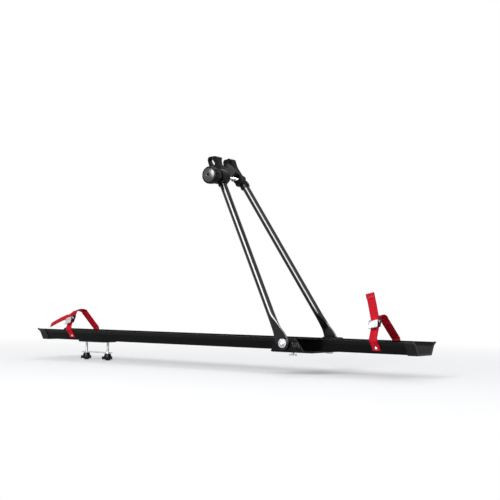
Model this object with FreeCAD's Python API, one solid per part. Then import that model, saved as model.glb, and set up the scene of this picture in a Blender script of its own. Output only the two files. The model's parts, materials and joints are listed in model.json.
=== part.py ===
import FreeCAD
import Part
import math
import os

# Upright bike carrier for roof bars, in millimetres.
# +X points to the front of the vehicle, +Z up, and the near side is -Y.
# The origin is the centre of the front bar seat, on the underside of its rubber pad.

V = FreeCAD.Vector
X_AXIS = V(1, 0, 0)
Y_AXIS = V(0, 1, 0)
Z_AXIS = V(0, 0, 1)

# Overall layout
bar_gap_height = 31.0
near = -1
far = 1

# Tray, a splayed steel channel with flared lips
tray_length = 1350.0
tray_front_reach = 339.5
tray_sheet = 1.6
tray_floor_width = 76.0
tray_shoulder_width = 100.0
tray_shoulder_height = 22.0
tray_width = 121.0
tray_height = 32.5
tray_hem_radius = 1.5

# Front base bracket, a bent plate with an ear at each end
pad_thick = 2.5
base_plate_thick = 3.0
base_length = 105.0
base_half_span = 120.0
base_bend_radius = 4.0
ear_height = 33.0
ear_top_back = 39.0
ear_top_front = 26.0
ear_bead_count = 4
ear_bead_radius = 1.6
ear_bead_pitch = 6.0
ear_bead_length = 14.0
ear_eyelet_bore = 6.0
ear_eyelet_rim = 2.6
ear_eyelet_height = 9.0
ear_eyelet_front = 33.0
ear_corner = 6.0
ear_bead_inset = 14.0
ear_bead_rise = 11.0
base_pad_width = 150.0
base_pad_length = 96.0
pad_corner = 6.0
rivet_spread_x = 70.0
rivet_spread_y = 44.0
rivet_shank = 4.8
rivet_head = 9.6
rivet_head_height = 1.8

# Bolts that hold the base bracket to the front bar
t_bolt_shank = 8.0
t_bolt_half_spacing = 92.0
t_bolt_head_drop = 7.0
t_bolt_head_thick = 4.0
t_bolt_head_length = 20.0
t_bolt_head_width = 11.0
t_bolt_tail = 3.0
adapter_slot_spread_x = 76.0
adapter_slot_width = 8.5
adapter_slot_length = 20.0

# Threaded fasteners of the carrier
bolt_hole_clearance = 1.0
running_clearance = 0.05
nut_across_flats = 13.0
nut_height = 6.5
nut_collar_height = 2.0
small_washer = 17.0
small_washer_thick = 1.6

# Arm pivots on the ears
pivot_back = 10.0
pivot_height = 21.3
pivot_shank = 8.0
pivot_spacer = 24.0
pivot_spacer_thick = 1.5
pivot_play = 0.7
pivot_washer = 24.0
pivot_washer_thick = 2.0
pivot_head = 19.0
pivot_head_height = 5.5
pivot_socket = 5.0
pivot_socket_depth = 3.0

# Arms, round steel tube flattened at the foot
arm_lean = 30.6
arm_reach = 541.0
arm_tube = 21.3
arm_wall = 1.5
arm_foot_width = 36.0
arm_foot_thick = 5.0
arm_foot_height = 46.0
arm_neck_height = 82.0
arm_neck_width = 25.0
arm_top_half_span = 51.0
arm_top_inset = 14.0

# Clamp screw, along Y at the reach of the arms
rod_diameter = 8.0
rod_near_end = 98.0
rod_bore_play = 0.4
rod_slot_play = 4.0

# Jaws, moulded claws that close on the down tube
grip_diameter = 50.0
grip_offset = 32.0
grip_tilt = 19.1
grip_pad_thick = 3.0
grip_pad_arc = 46.0
grip_pad_length = 40.0
jaw_shell = 8.0
jaw_inner_half_span = 20.0
jaw_web_inner = 29.0
jaw_web_outer = 45.0
jaw_outer_far = 56.0
jaw_outer_near = 66.0
jaw_collar = 27.5
jaw_collar_length = 16.0
jaw_collar_top = 12.0
jaw_boss_far = 27.0
jaw_boss_near_foot = 41.0
jaw_boss_near_face = 45.0
jaw_window = 9.5
jaw_high_window_width = 13.0
jaw_profile = [(13.0, -14.0), (-12.0, -14.0), (-11.0, -4.0), (-15.0, 8.0), (-25.0, 20.0), (-33.0, 29.0),
               (-32.0, 35.0), (-22.0, 54.0), (-19.0, 70.0), (-14.0, 76.0), (-8.0, 76.0), (11.0, 66.0),
               (15.0, 60.0), (13.0, 50.0), (11.0, 36.0), (13.0, 18.0), (15.0, 2.0)]
jaw_high_window = (-8.5, 57.0)
jaw_high_window_length = 28.0
jaw_low_window = (-16.5, 17.5)
jaw_low_window_length = 24.0
jaw_low_window_tilt = 45.8
jaw_cheek_back = 11.0
jaw_cheek_front = 12.0
jaw_cheek_drop = 6.0
jaw_rivet_head_height = 2.2
jaw_rivet = 5.0
jaw_rivet_head = 8.0

# Big clamp knob
thrust_washer = 24.0
thrust_washer_thick = 2.0
thrust_gap = 0.5
washer_seat_play = 3.0
knob_diameter = 50.0
knob_face_half_span = 105.0
knob_rim_thick = 18.0
knob_hub_top = 49.0
knob_hub_foot = 40.0
knob_lobes = 12
knob_flute_radius = 4.5
knob_dish_depth = 1.6
knob_dish = 40.0
knob_cap_thick = 1.2
knob_face_hole = 5.0
knob_end_wall = 3.0
insert_diameter = 13.0
insert_length = 14.0

# Rear bar clamp
rear_clamp_from_end = 203.5
rear_bolt_spacing = 92.0
rear_bolt_shank = 8.0
rear_bolt_end = 55.5
rear_bolt_head = 19.0
rear_bolt_head_height = 4.4
rear_bolt_neck = 7.9
rear_slot_travel = 75.0
rear_slot_width = 9.0
slide_gap = 0.2
saddle_length = 124.0
saddle_width = 56.0
saddle_thick = 3.0
rear_pad_length = 112.0
rear_pad_width = 60.0
clamp_plate_length = 118.0
clamp_plate_width = 26.0
clamp_plate_thick = 3.0
rear_washer = 16.0
rear_knob_span = 37.0
rear_knob_height = 21.0
rear_knob_wing_height = 9.0
rear_knob_hub_height = 9.0
rear_knob_hub = 19.0
rear_knob_foot = 24.0
rear_knob_boss = 14.0
rear_knob_lobes = 3
rear_knob_lobe = 12.5
rear_insert = 12.0
rear_insert_length = 11.0

# Wheel straps, 25 mm webbing with a cam buckle each
webbing_width = 25.0
webbing_thick = 1.8
webbing_gap = 0.3
strap_lip_clearance = 0.5
strap_anchor_height = 9.0
front_strap_from_end = 113.0
front_strap_lean = 13.0
front_buckle_foot = (36.0, 73.0)
front_loop_shoulder = (19.0, 95.0)
front_loop_top = 105.0
rear_strap_from_end = 137.5
rear_strap_lean = 15.0
rear_buckle_foot = (49.0, 58.0)
rear_loop_shoulder = (20.0, 98.5)
rear_loop_top = 107.0
buckle_length = 24.0
buckle_inner_width = 26.0
buckle_sheet = 1.6
buckle_depth = 14.0
buckle_pin = 4.0
buckle_bar = 3.0
cam_radius = 5.0
lever_length = 19.0
lever_thick = 1.6
front_tail_length = 69.0
rear_tail_length = 76.0
rear_tail_bends = 4
rear_tail_first_drop = 5.0
rear_tail_turn = 10.0
strap_rivet_head = 7.5
strap_rivet_shank = 4.0
strap_rivet_height = 1.6
strap_rivet_rise = 6.0
strap_wrap = [(3.4, 0.8), (0.9, -1.1), (-3.6, -1.1), (-3.6, 2.9), (0.8, 2.9), (3.0, 1.9)]
strap_exit = [(17.0, 5.0), (22.0, 9.5)]
rear_tail_shift = (-9.0, -8.5)
rear_exit_end = (26.0, 13.0)

# End caps, moulded covers pushed over both tray ends
cap_length = 26.0
cap_wall = 1.8
cap_end_wall = 2.5
cap_fit = 0.1
cap_lug = 6.0

# Places worked out from the sizes above
base_plate_bottom = pad_thick
base_plate_top = base_plate_bottom + base_plate_thick
tray_bottom = base_plate_top
floor_top = tray_bottom + tray_sheet
tray_top = tray_bottom + tray_height
tray_front = tray_front_reach
tray_rear = tray_front_reach - tray_length
shoulder_z = tray_bottom + tray_shoulder_height
pivot_x = -pivot_back
pivot_z = base_plate_top + pivot_height
foot_inner = base_half_span + pivot_spacer_thick + pivot_play
foot_middle = foot_inner + arm_foot_thick / 2
foot_outer = foot_inner + arm_foot_thick
grip_radius = grip_diameter / 2
rear_x = tray_rear + rear_clamp_from_end
clamp_plate_top = -bar_gap_height
clamp_plate_bottom = clamp_plate_top - clamp_plate_thick
rear_knob_top = clamp_plate_bottom - small_washer_thick - running_clearance
rod_play_bore = rod_diameter / 2 + running_clearance


def box(x0, y0, z0, x1, y1, z1):
    low = V(min(x0, x1), min(y0, y1), min(z0, z1))
    return Part.makeBox(abs(x1 - x0), abs(y1 - y0), abs(z1 - z0), low)


def rod(start, end, radius):
    axis = end - start
    return Part.makeCylinder(radius, axis.Length, start, axis)


def cone(start, end, radius_start, radius_end):
    axis = end - start
    return Part.makeCone(radius_start, radius_end, axis.Length, start, axis)


def prism(points, sweep):
    closed = points + [points[0]]
    return Part.Face(Part.makePolygon(closed)).extrude(sweep)


def fuse(shapes):
    joined = shapes[0].multiFuse(shapes[1:])
    return joined.removeSplitter()


def round_edges(shape, radius, wanted):
    edges = [edge for edge in shape.Edges if wanted(edge)]
    return shape.makeFillet(radius, edges)


def along(edge, axis):
    first = edge.Vertexes[0].Point
    last = edge.Vertexes[-1].Point
    line = last - first
    return line.Length > 0 and abs(line.normalize().dot(axis)) > 0.999


def slotted(centre, travel_axis, hole_axis, width, length, depth):
    half = (length - width) / 2
    start = centre - travel_axis * half - hole_axis * (depth / 2)
    end = centre + travel_axis * half - hole_axis * (depth / 2)
    side = hole_axis.cross(travel_axis) * (width / 2)
    middle = prism([start - side, end - side, end + side, start + side], hole_axis * depth)
    first = Part.makeCylinder(width / 2, depth, start, hole_axis)
    last = Part.makeCylinder(width / 2, depth, end, hole_axis)
    return fuse([first, middle, last])


def hexagon(centre, axis, across, height):
    side = Part.makeCircle(across / math.sqrt(3), centre, axis)
    corners = [side.valueAt(side.FirstParameter + math.pi / 3 * step) for step in range(6)]
    return prism(corners, axis * height)


def lock_nut(seat, axis):
    body = hexagon(seat, axis, nut_across_flats, nut_height)
    collar_start = seat + axis * nut_height
    collar = cone(collar_start, collar_start + axis * nut_collar_height,
                  nut_across_flats * 0.46, nut_across_flats * 0.38)
    return fuse([body, collar])


def washer(seat, axis, outer, inner, thick):
    disc = Part.makeCylinder(outer / 2, thick, seat, axis)
    hole = Part.makeCylinder(inner / 2, thick, seat, axis)
    return disc.cut(hole)


def dome(seat, axis, diameter, height):
    radius = (diameter * diameter / 4 + height * height) / (2 * height)
    ball = Part.makeSphere(radius, seat + axis * (height - radius))
    keep = Part.makeCylinder(diameter / 2 + 1, height + 1, seat, axis)
    return ball.common(keep)


def in_arm_frame(shape):
    placed = shape.copy()
    placed.rotate(V(0, 0, 0), Y_AXIS, -arm_lean)
    placed.translate(V(pivot_x, 0, pivot_z))
    return placed


def in_jaw_frame(shape):
    placed = shape.copy()
    placed.translate(V(0, 0, arm_reach))
    return in_arm_frame(placed)


def export(name, shape):
    solids = shape.Solids
    result = solids[0] if len(solids) == 1 else Part.makeCompound(solids)
    result.exportStep("parts/" + name + ".step")
    print(name, len(solids), round(result.Volume, 1), result.isValid())


# Tray
def tray_outline(grow):
    """Outside of the channel in Y and Z, grown outwards by a clearance."""
    half_floor = tray_floor_width / 2
    half_shoulder = tray_shoulder_width / 2
    half_top = tray_width / 2
    wall = V(0, half_floor - half_shoulder, shoulder_z - tray_bottom)
    flare = V(0, half_shoulder - half_top, tray_top - shoulder_z)
    wall_slope = wall.Length / wall.z
    flare_slope = flare.Length / flare.z
    floor_y = half_floor + grow * (wall_slope + wall.y / wall.z)
    shoulder_y = half_shoulder + grow * wall_slope
    top_y = half_top + grow * flare_slope
    return [(floor_y, tray_bottom - grow), (shoulder_y, shoulder_z), (top_y, tray_top)]


def channel(x_start, x_end, outer_grow, inner_grow):
    """Thin channel between two growths of the tray's outline."""
    outer = tray_outline(outer_grow)
    inner = tray_outline(inner_grow)
    right = [V(x_start, y, z) for y, z in outer] + [V(x_start, y, z) for y, z in reversed(inner)]
    left = [V(x_start, -point.y, point.z) for point in reversed(right)]
    return prism(right + left, X_AXIS * (x_end - x_start))


def make_tray():
    body = channel(tray_rear, tray_front, 0, -tray_sheet)
    half_top = tray_width / 2
    hem_y = half_top - tray_hem_radius * (1 + math.sqrt(2))
    hems = []
    for side in (near, far):
        start = V(tray_rear, side * hem_y, tray_top - tray_hem_radius)
        hems.append(rod(start, start + X_AXIS * tray_length, tray_hem_radius))
    slot_centre = V(rear_x, 0, tray_bottom + tray_sheet / 2)
    slot_length = rear_bolt_spacing + 2 * rear_slot_travel + rear_slot_width
    slot = slotted(slot_centre, X_AXIS, Z_AXIS, rear_slot_width, slot_length, 4 * tray_sheet)
    body = fuse([body] + hems).cut(slot)
    for x, y in rivet_places():
        body = body.cut(Part.makeCylinder(rivet_shank / 2, 4 * tray_sheet, V(x, y, tray_bottom - tray_sheet)))
    for hole in strap_rivet_holes():
        body = body.cut(hole)
    return body


def rivet_places():
    half_x = rivet_spread_x / 2
    half_y = rivet_spread_y / 2
    return [(x, y) for x in (-half_x, half_x) for y in (-half_y, half_y)]


# End caps
def make_end_cap(end_x, outward):
    inner = cap_fit
    back = end_x - outward * cap_length
    front = end_x + outward * (cap_fit + cap_end_wall)
    sleeve = channel(back, front, inner + cap_wall, inner)
    lip = channel(end_x + outward * cap_fit, front, inner + cap_wall, -tray_sheet - cap_wall)
    lugs = []
    for side in (near, far):
        middle = V(end_x + outward * cap_fit, side * (tray_width / 2), tray_top - cap_lug / 4)
        lugs.append(rod(middle, middle + X_AXIS * (outward * cap_end_wall), cap_lug / 2))
    return fuse([sleeve, lip] + lugs)


# Front base bracket
def ear_outline(y):
    half = base_length / 2
    top = base_plate_top + ear_height
    return [V(-half, y, base_plate_bottom), V(-half, y, base_plate_top), V(-ear_top_back, y, top),
            V(ear_top_front, y, top), V(half, y, base_plate_top), V(half, y, base_plate_bottom)]


def make_base_bracket():
    half = base_length / 2
    top = base_plate_top + ear_height
    outside = box(-half, -base_half_span, base_plate_bottom, half, base_half_span, top)
    inner_span = base_half_span - base_plate_thick
    inside = box(-half, -inner_span, base_plate_top, half, inner_span, top)
    bent = outside.cut(inside)
    bent = round_edges(bent, base_bend_radius, lambda edge: along(edge, X_AXIS)
                       and abs(edge.CenterOfMass.z - base_plate_bottom) < 0.1)
    bent = round_edges(bent, base_bend_radius - base_plate_thick + 0.5, lambda edge: along(edge, X_AXIS)
                       and abs(edge.CenterOfMass.z - base_plate_top) < 0.1)
    mask = prism(ear_outline(-base_half_span), Y_AXIS * (2 * base_half_span))
    bent = bent.common(mask)
    bent = round_edges(bent, ear_corner, lambda edge: along(edge, Y_AXIS)
                       and abs(edge.CenterOfMass.z - top) < 0.1)
    beads = []
    eyelets = []
    for side in (near, far):
        face = V(0, side * base_half_span, 0)
        for index in range(ear_bead_count):
            x = half - ear_bead_inset - index * ear_bead_pitch
            z = base_plate_top + ear_bead_rise
            start = face + V(x, 0, z)
            lean = V(-0.45, 0, 1).normalize()
            beads.append(rod(start, start + lean * ear_bead_length, ear_bead_radius))
        rim_start = V(ear_eyelet_front, side * (base_half_span - base_plate_thick), ear_eyelet_height + 1)
        rim_end = V(ear_eyelet_front, side * (base_half_span + ear_bead_radius), ear_eyelet_height + 1)
        beads.append(rod(rim_start, rim_end, ear_eyelet_bore / 2 + ear_eyelet_rim))
        eyelets.append(rod(rim_start - (rim_end - rim_start), rim_end + (rim_end - rim_start), ear_eyelet_bore / 2))
    bent = fuse([bent] + beads)
    holes = list(eyelets)
    for side in (near, far):
        start = V(pivot_x, side * (base_half_span + 5), pivot_z)
        end = V(pivot_x, side * (base_half_span - 12), pivot_z)
        holes.append(rod(start, end, (pivot_shank + bolt_hole_clearance) / 2))
        seat = V(0, side * t_bolt_half_spacing, base_plate_bottom + base_plate_thick / 2)
        holes.append(Part.makeCylinder((t_bolt_shank + bolt_hole_clearance) / 2, 9, seat - Z_AXIS * 4.5))
        for x in (-adapter_slot_spread_x / 2, adapter_slot_spread_x / 2):
            centre = V(x, side * t_bolt_half_spacing, base_plate_bottom + base_plate_thick / 2)
            holes.append(slotted(centre, X_AXIS, Z_AXIS, adapter_slot_width, adapter_slot_length, 9))
    for x, y in rivet_places():
        holes.append(Part.makeCylinder(rivet_shank / 2, 9, V(x, y, base_plate_bottom - 3)))
    for hole in holes:
        bent = bent.cut(hole)
    return bent


def make_base_pad():
    half_x = base_pad_length / 2
    half_y = base_pad_width / 2
    pad = box(-half_x, -half_y, 0, half_x, half_y, pad_thick)
    return round_edges(pad, pad_corner, lambda edge: along(edge, Z_AXIS))


def make_base_rivets():
    rivets = []
    for x, y in rivet_places():
        shank = rod(V(x, y, base_plate_bottom), V(x, y, floor_top), rivet_shank / 2)
        head = dome(V(x, y, floor_top), Z_AXIS, rivet_head, rivet_head_height)
        rivets.append(fuse([shank, head]))
    return Part.makeCompound(rivets)


def make_t_bolts():
    bolts = []
    for side in (near, far):
        y = side * t_bolt_half_spacing
        head_top = -t_bolt_head_drop + t_bolt_head_thick
        head = box(-t_bolt_head_length / 2, y - t_bolt_head_width / 2, -t_bolt_head_drop,
                   t_bolt_head_length / 2, y + t_bolt_head_width / 2, head_top)
        head = round_edges(head, 2.0, lambda edge: along(edge, Z_AXIS))
        top = base_plate_top + small_washer_thick + nut_height + nut_collar_height + t_bolt_tail
        shank = rod(V(0, y, -t_bolt_head_drop + 1), V(0, y, top), t_bolt_shank / 2)
        bolts.append(fuse([head, shank]))
    return Part.makeCompound(bolts)


def make_t_washers():
    rings = [washer(V(0, side * t_bolt_half_spacing, base_plate_top), Z_AXIS, small_washer,
                    t_bolt_shank + 0.1, small_washer_thick) for side in (near, far)]
    return Part.makeCompound(rings)


def make_t_nuts():
    nuts = []
    for side in (near, far):
        seat = V(0, side * t_bolt_half_spacing, base_plate_top + small_washer_thick)
        nut = lock_nut(seat, Z_AXIS)
        nuts.append(nut.cut(Part.makeCylinder(t_bolt_shank / 2 + running_clearance, 30, seat - Z_AXIS * 5)))
    return Part.makeCompound(nuts)


# Arm pivots
def pivot_point(half_span, side):
    return V(pivot_x, side * half_span, pivot_z)


def make_pivot_bolt(side):
    outward = Y_AXIS * side
    washer_outer = foot_outer + pivot_play + pivot_washer_thick
    inner_end = base_half_span - base_plate_thick - small_washer_thick - nut_height - nut_collar_height - 2
    shank = rod(pivot_point(inner_end, side), pivot_point(washer_outer, side), pivot_shank / 2)
    head = dome(pivot_point(washer_outer, side), outward, pivot_head, pivot_head_height)
    socket_start = pivot_point(washer_outer + pivot_head_height - pivot_socket_depth, side)
    socket = hexagon(socket_start, outward, pivot_socket, pivot_socket_depth + 1)
    return fuse([shank, head]).cut(socket)


def make_pivot_washers():
    rings = []
    for side in (near, far):
        outward = Y_AXIS * side
        rings.append(washer(pivot_point(foot_outer + pivot_play, side), outward, pivot_washer,
                            pivot_shank + 0.1, pivot_washer_thick))
    return Part.makeCompound(rings)


def make_pivot_spacers():
    rings = []
    for side in (near, far):
        outward = Y_AXIS * side
        rings.append(washer(pivot_point(base_half_span + ear_bead_radius * 0, side), outward, pivot_spacer,
                            pivot_shank + 0.1, pivot_spacer_thick))
    return Part.makeCompound(rings)


def make_pivot_nuts():
    nuts = []
    for side in (near, far):
        inward = Y_AXIS * -side
        ear_inner = base_half_span - base_plate_thick
        ring = washer(pivot_point(ear_inner, side), inward, small_washer, pivot_shank + 0.1, small_washer_thick)
        nut = lock_nut(pivot_point(ear_inner - small_washer_thick, side), inward)
        bore = rod(pivot_point(ear_inner, side), pivot_point(ear_inner - 20, side),
                   pivot_shank / 2 + running_clearance)
        nuts.append(fuse([ring, nut.cut(bore)]))
    return Part.makeCompound(nuts)


# Arms
def arm_axis(side):
    """Foot and top of the tube's centre line in the arm frame."""
    foot = V(0, side * foot_middle, arm_foot_height)
    top = V(0, side * arm_top_half_span, arm_reach)
    return foot, top


def ellipse_wire(centre, direction, half_x, half_y):
    across = direction.cross(X_AXIS).normalize()
    if half_x >= half_y:
        curve = Part.Ellipse(centre + X_AXIS * half_x, centre + across * half_y, centre)
    else:
        curve = Part.Ellipse(centre + across * half_y, centre + X_AXIS * half_x, centre)
    return Part.Wire(curve.toShape())


def make_arm(side):
    foot, top = arm_axis(side)
    direction = (top - foot).normalize()
    neck_run = arm_neck_height - arm_foot_height
    neck = foot + direction * neck_run
    end = top - direction * arm_top_inset
    radius = arm_tube / 2
    half = arm_foot_width / 2
    flat = arm_foot_thick / 2
    tube = rod(neck, end, radius)
    narrow = arm_neck_width / 2
    sections = [ellipse_wire(foot - direction * 6, direction, narrow * 0.96, flat * 0.7),
                ellipse_wire(foot + direction * (neck_run * 0.5), direction, narrow * 0.95, radius * 0.62),
                ellipse_wire(neck + direction * 3, direction, radius + 0.2, radius + 0.15)]
    taper = Part.makeLoft(sections, True, False)
    y = side * foot_middle
    outline = [V(-half, y - flat, 0), V(-half, y - flat, arm_foot_height * 0.35),
               V(-narrow, y - flat, arm_foot_height * 0.9), V(-narrow * 0.9, y - flat, arm_foot_height + 4),
               V(narrow * 0.9, y - flat, arm_foot_height + 4), V(narrow, y - flat, arm_foot_height * 0.9),
               V(half, y - flat, arm_foot_height * 0.35), V(half, y - flat, 0)]
    plate = prism(outline, Y_AXIS * arm_foot_thick)
    eye = Part.makeCylinder(half, arm_foot_thick, V(0, y - flat, 0), Y_AXIS)
    hole_radius = (pivot_shank + bolt_hole_clearance) / 2
    hole = Part.makeCylinder(hole_radius, 3 * arm_foot_thick, V(0, y - arm_foot_thick * 1.5, 0), Y_AXIS)
    body = fuse([tube, taper, plate, eye]).cut(hole)
    bore = rod(neck + direction * 6, end + direction * 5, radius - arm_wall)
    rivet_hole = jaw_rivet_hole(side)
    rivet_hole.translate(V(0, 0, arm_reach))
    return in_arm_frame(body.cut(bore).cut(rivet_hole))


# Jaws, drawn in the jaw frame: Z along the arm, X towards the front, origin on the clamp screw
def grip_axis():
    lean = math.radians(grip_tilt)
    direction = V(math.cos(lean), 0, math.sin(lean))
    across = V(-math.sin(lean), 0, math.cos(lean))
    return across * grip_offset, direction, across


def jaw_outline(y):
    return [V(x, y, z) for x, z in jaw_profile]


def jaw_prism(low, high, side):
    return prism(jaw_outline(side * low), Y_AXIS * (side * (high - low)))


def tube_in_jaw(side):
    """Top of the arm tube's centre line in the jaw frame, and its direction."""
    foot, top = arm_axis(side)
    return V(0, side * arm_top_half_span, 0), (top - foot).normalize()


def jaw_windows(side):
    depth = 4 * jaw_outer_near
    high = V(jaw_high_window[0], 0, jaw_high_window[1])
    upper = slotted(high, V(-0.1, 0, 1).normalize(), Y_AXIS, jaw_high_window_width, jaw_high_window_length, depth)
    if side == near:
        return [upper]
    tilt = math.radians(jaw_low_window_tilt)
    travel = V(-math.cos(tilt), 0, math.sin(tilt))
    low = V(jaw_low_window[0], 0, jaw_low_window[1])
    lower = slotted(low, travel, Y_AXIS, jaw_window, jaw_low_window_length, depth)
    return [upper, lower]


def make_jaw(side):
    tube_top, direction = tube_in_jaw(side)
    centre, grip_direction, across = grip_axis()
    reach = grip_radius + grip_pad_thick
    long_half = 4 * reach
    hollow = rod(centre - grip_direction * long_half, centre + grip_direction * long_half, reach)
    skin = rod(centre - grip_direction * long_half, centre + grip_direction * long_half, reach + jaw_shell)
    saddle = skin.common(jaw_prism(jaw_inner_half_span, reach + jaw_shell, side))
    web = jaw_prism(jaw_web_inner, jaw_web_outer, side)
    inner = V(0, side * jaw_web_inner, 0)
    if side == near:
        outer = V(0, side * jaw_outer_near, 0)
        boss = cone(inner, outer, jaw_boss_near_foot / 2, jaw_boss_near_face / 2)
    else:
        outer = V(0, side * jaw_outer_far, 0)
        boss = rod(inner, outer, jaw_boss_far / 2)
    collar_top = tube_top - direction * jaw_collar_top
    collar = rod(collar_top, collar_top - direction * jaw_collar_length, jaw_collar / 2)
    cheek = box(-jaw_cheek_back, side * jaw_web_inner, -jaw_collar_top - jaw_cheek_drop, jaw_cheek_front,
                side * (arm_top_half_span + 2), 0)
    body = fuse([saddle, web, boss, collar, cheek]).cut(hollow)
    for cut in jaw_windows(side):
        body = body.cut(cut)
    tube_end = tube_top - direction * (arm_top_inset - running_clearance)
    tube_space = rod(tube_end, tube_end - direction * 90, arm_tube / 2 + running_clearance)
    body = body.cut(tube_space)
    if side == near:
        seat = outer + Y_AXIS * (side * running_clearance)
        body = body.cut(rod(seat, seat + Y_AXIS * (side * 20), thrust_washer / 2 + washer_seat_play))
        middle = (inner + outer) * 0.5
        body = body.cut(slotted(middle, Z_AXIS, Y_AXIS, rod_diameter + 2 * rod_bore_play,
                                rod_diameter + 2 * rod_slot_play, 2 * jaw_outer_near))
    else:
        body = body.cut(rod(V(0, 0, 0), outer + Y_AXIS * 5, rod_diameter / 2 + running_clearance))
    return body.cut(jaw_rivet_hole(side))


def jaw_rivet_place(side):
    tube_top, direction = tube_in_jaw(side)
    return tube_top - direction * (arm_top_inset + jaw_collar_length * 0.5)


def jaw_rivet_hole(side):
    middle = jaw_rivet_place(side)
    half = jaw_collar
    return rod(middle - X_AXIS * half, middle + X_AXIS * half, jaw_rivet / 2)


def make_jaw_rivet(side):
    middle = jaw_rivet_place(side)
    half = jaw_collar / 2
    shank = rod(middle - X_AXIS * half, middle + X_AXIS * half, jaw_rivet / 2)
    heads = [dome(middle + X_AXIS * (end * half), X_AXIS * end, jaw_rivet_head, jaw_rivet_head_height) for end in (-1, 1)]
    return in_jaw_frame(fuse([shank] + heads))


def make_grip_pad(side):
    centre, direction, across = grip_axis()
    half = grip_pad_length / 2
    start = centre - direction * half
    ring = rod(start, start + direction * grip_pad_length, grip_radius + grip_pad_thick)
    ring = ring.cut(rod(start, start + direction * grip_pad_length, grip_radius))
    far_out = 80
    edge = math.radians(grip_pad_arc)
    outward = Y_AXIS * side
    low = across * (-math.sin(edge) * far_out) + outward * (math.cos(edge) * far_out)
    high = across * (math.sin(edge) * far_out) + outward * (math.cos(edge) * far_out)
    wedge = prism([start, start + low, start + high], direction * grip_pad_length)
    pad = ring.common(wedge)
    pad = pad.common(jaw_prism(0, 2 * jaw_outer_near, side))
    for cut in jaw_windows(side):
        pad = pad.cut(cut)
    return max(pad.Solids, key=lambda solid: solid.Volume)


def make_clamp_rod():
    far_end = jaw_outer_far + small_washer_thick + nut_height + nut_collar_height + 3
    return in_jaw_frame(rod(V(0, -rod_near_end, 0), V(0, far_end, 0), rod_diameter / 2))


def make_rod_nut():
    seat = V(0, jaw_outer_far, 0)
    ring = washer(seat, Y_AXIS, small_washer, rod_diameter + 0.1, small_washer_thick)
    nut = lock_nut(seat + Y_AXIS * small_washer_thick, Y_AXIS)
    nut = nut.cut(rod(seat, seat + Y_AXIS * 30, rod_play_bore))
    return in_jaw_frame(fuse([ring, nut]))


def make_thrust_washer():
    seat = V(0, -jaw_outer_near - thrust_gap, 0)
    return in_jaw_frame(washer(seat, -Y_AXIS, thrust_washer, rod_diameter + 0.1, thrust_washer_thick))


def knob_foot_half_span():
    return jaw_outer_near + thrust_gap + thrust_washer_thick + running_clearance


def make_clamp_knob():
    face = -knob_face_half_span
    rim_back = face + knob_rim_thick
    foot = -knob_foot_half_span()
    radius = knob_diameter / 2
    rim = rod(V(0, face, 0), V(0, rim_back, 0), radius)
    rim = rim.makeFillet(3.0, rim.Edges[0:1] + rim.Edges[2:3])
    hub = cone(V(0, rim_back, 0), V(0, foot, 0), knob_hub_top / 2, knob_hub_foot / 2)
    body = fuse([rim, hub])
    for index in range(knob_lobes):
        angle = 2 * math.pi * index / knob_lobes
        reach = radius + knob_flute_radius * 0.62
        spot = V(math.cos(angle) * reach, face - 1, math.sin(angle) * reach)
        body = body.cut(rod(spot, spot + Y_AXIS * (knob_rim_thick + 12), knob_flute_radius))
    dish = rod(V(0, face - 1, 0), V(0, face + knob_dish_depth, 0), knob_dish / 2)
    hole = rod(V(0, face, 0), V(0, face + knob_dish_depth + knob_end_wall, 0), knob_face_hole / 2)
    well_end = face + knob_dish_depth + knob_end_wall
    well = rod(V(0, well_end, 0), V(0, foot, 0), rod_diameter / 2 + 0.6)
    seat = rod(V(0, foot - insert_length, 0), V(0, foot, 0), insert_diameter / 2)
    return in_jaw_frame(body.cut(dish).cut(hole).cut(well).cut(seat))


def make_knob_insert():
    foot = -knob_foot_half_span()
    body = rod(V(0, foot - insert_length, 0), V(0, foot, 0), insert_diameter / 2)
    bore = rod(V(0, foot - insert_length - 1, 0), V(0, foot + 1, 0), rod_play_bore)
    return in_jaw_frame(body.cut(bore))


def make_knob_cap():
    face = -knob_face_half_span + knob_dish_depth
    disc = rod(V(0, face - knob_cap_thick, 0), V(0, face, 0), knob_dish / 2 - 0.1)
    hole = rod(V(0, face - knob_cap_thick, 0), V(0, face, 0), knob_face_hole / 2)
    return in_jaw_frame(disc.cut(hole))


# Rear bar clamp
def rear_bolt_places():
    half = rear_bolt_spacing / 2
    return [rear_x - half, rear_x + half]


def make_saddle():
    low = floor_top + slide_gap
    half_x = saddle_length / 2
    half_y = saddle_width / 2
    plate = box(rear_x - half_x, -half_y, low, rear_x + half_x, half_y, low + saddle_thick)
    plate = round_edges(plate, 5.0, lambda edge: along(edge, Z_AXIS))
    for x in rear_bolt_places():
        half = rear_bolt_neck / 2 + 0.05
        plate = plate.cut(box(x - half, -half, low, x + half, half, low + saddle_thick))
    return plate


def make_rear_bolts():
    bolts = []
    seat = floor_top + slide_gap + saddle_thick
    for x in rear_bolt_places():
        head = dome(V(x, 0, seat), Z_AXIS, rear_bolt_head, rear_bolt_head_height)
        half = rear_bolt_neck / 2
        neck = box(x - half, -half, seat - saddle_thick, x + half, half, seat)
        shank = rod(V(x, 0, seat), V(x, 0, -rear_bolt_end), rear_bolt_shank / 2)
        bolts.append(fuse([head, neck, shank]))
    return Part.makeCompound(bolts)


def make_rear_pad():
    half_x = rear_pad_length / 2
    half_y = rear_pad_width / 2
    pad = box(rear_x - half_x, -half_y, 0, rear_x + half_x, half_y, tray_bottom - slide_gap)
    pad = round_edges(pad, pad_corner, lambda edge: along(edge, Z_AXIS))
    for x in rear_bolt_places():
        pad = pad.cut(Part.makeCylinder(rear_bolt_shank / 2 + running_clearance, 20, V(x, 0, -5)))
    return pad


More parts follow.
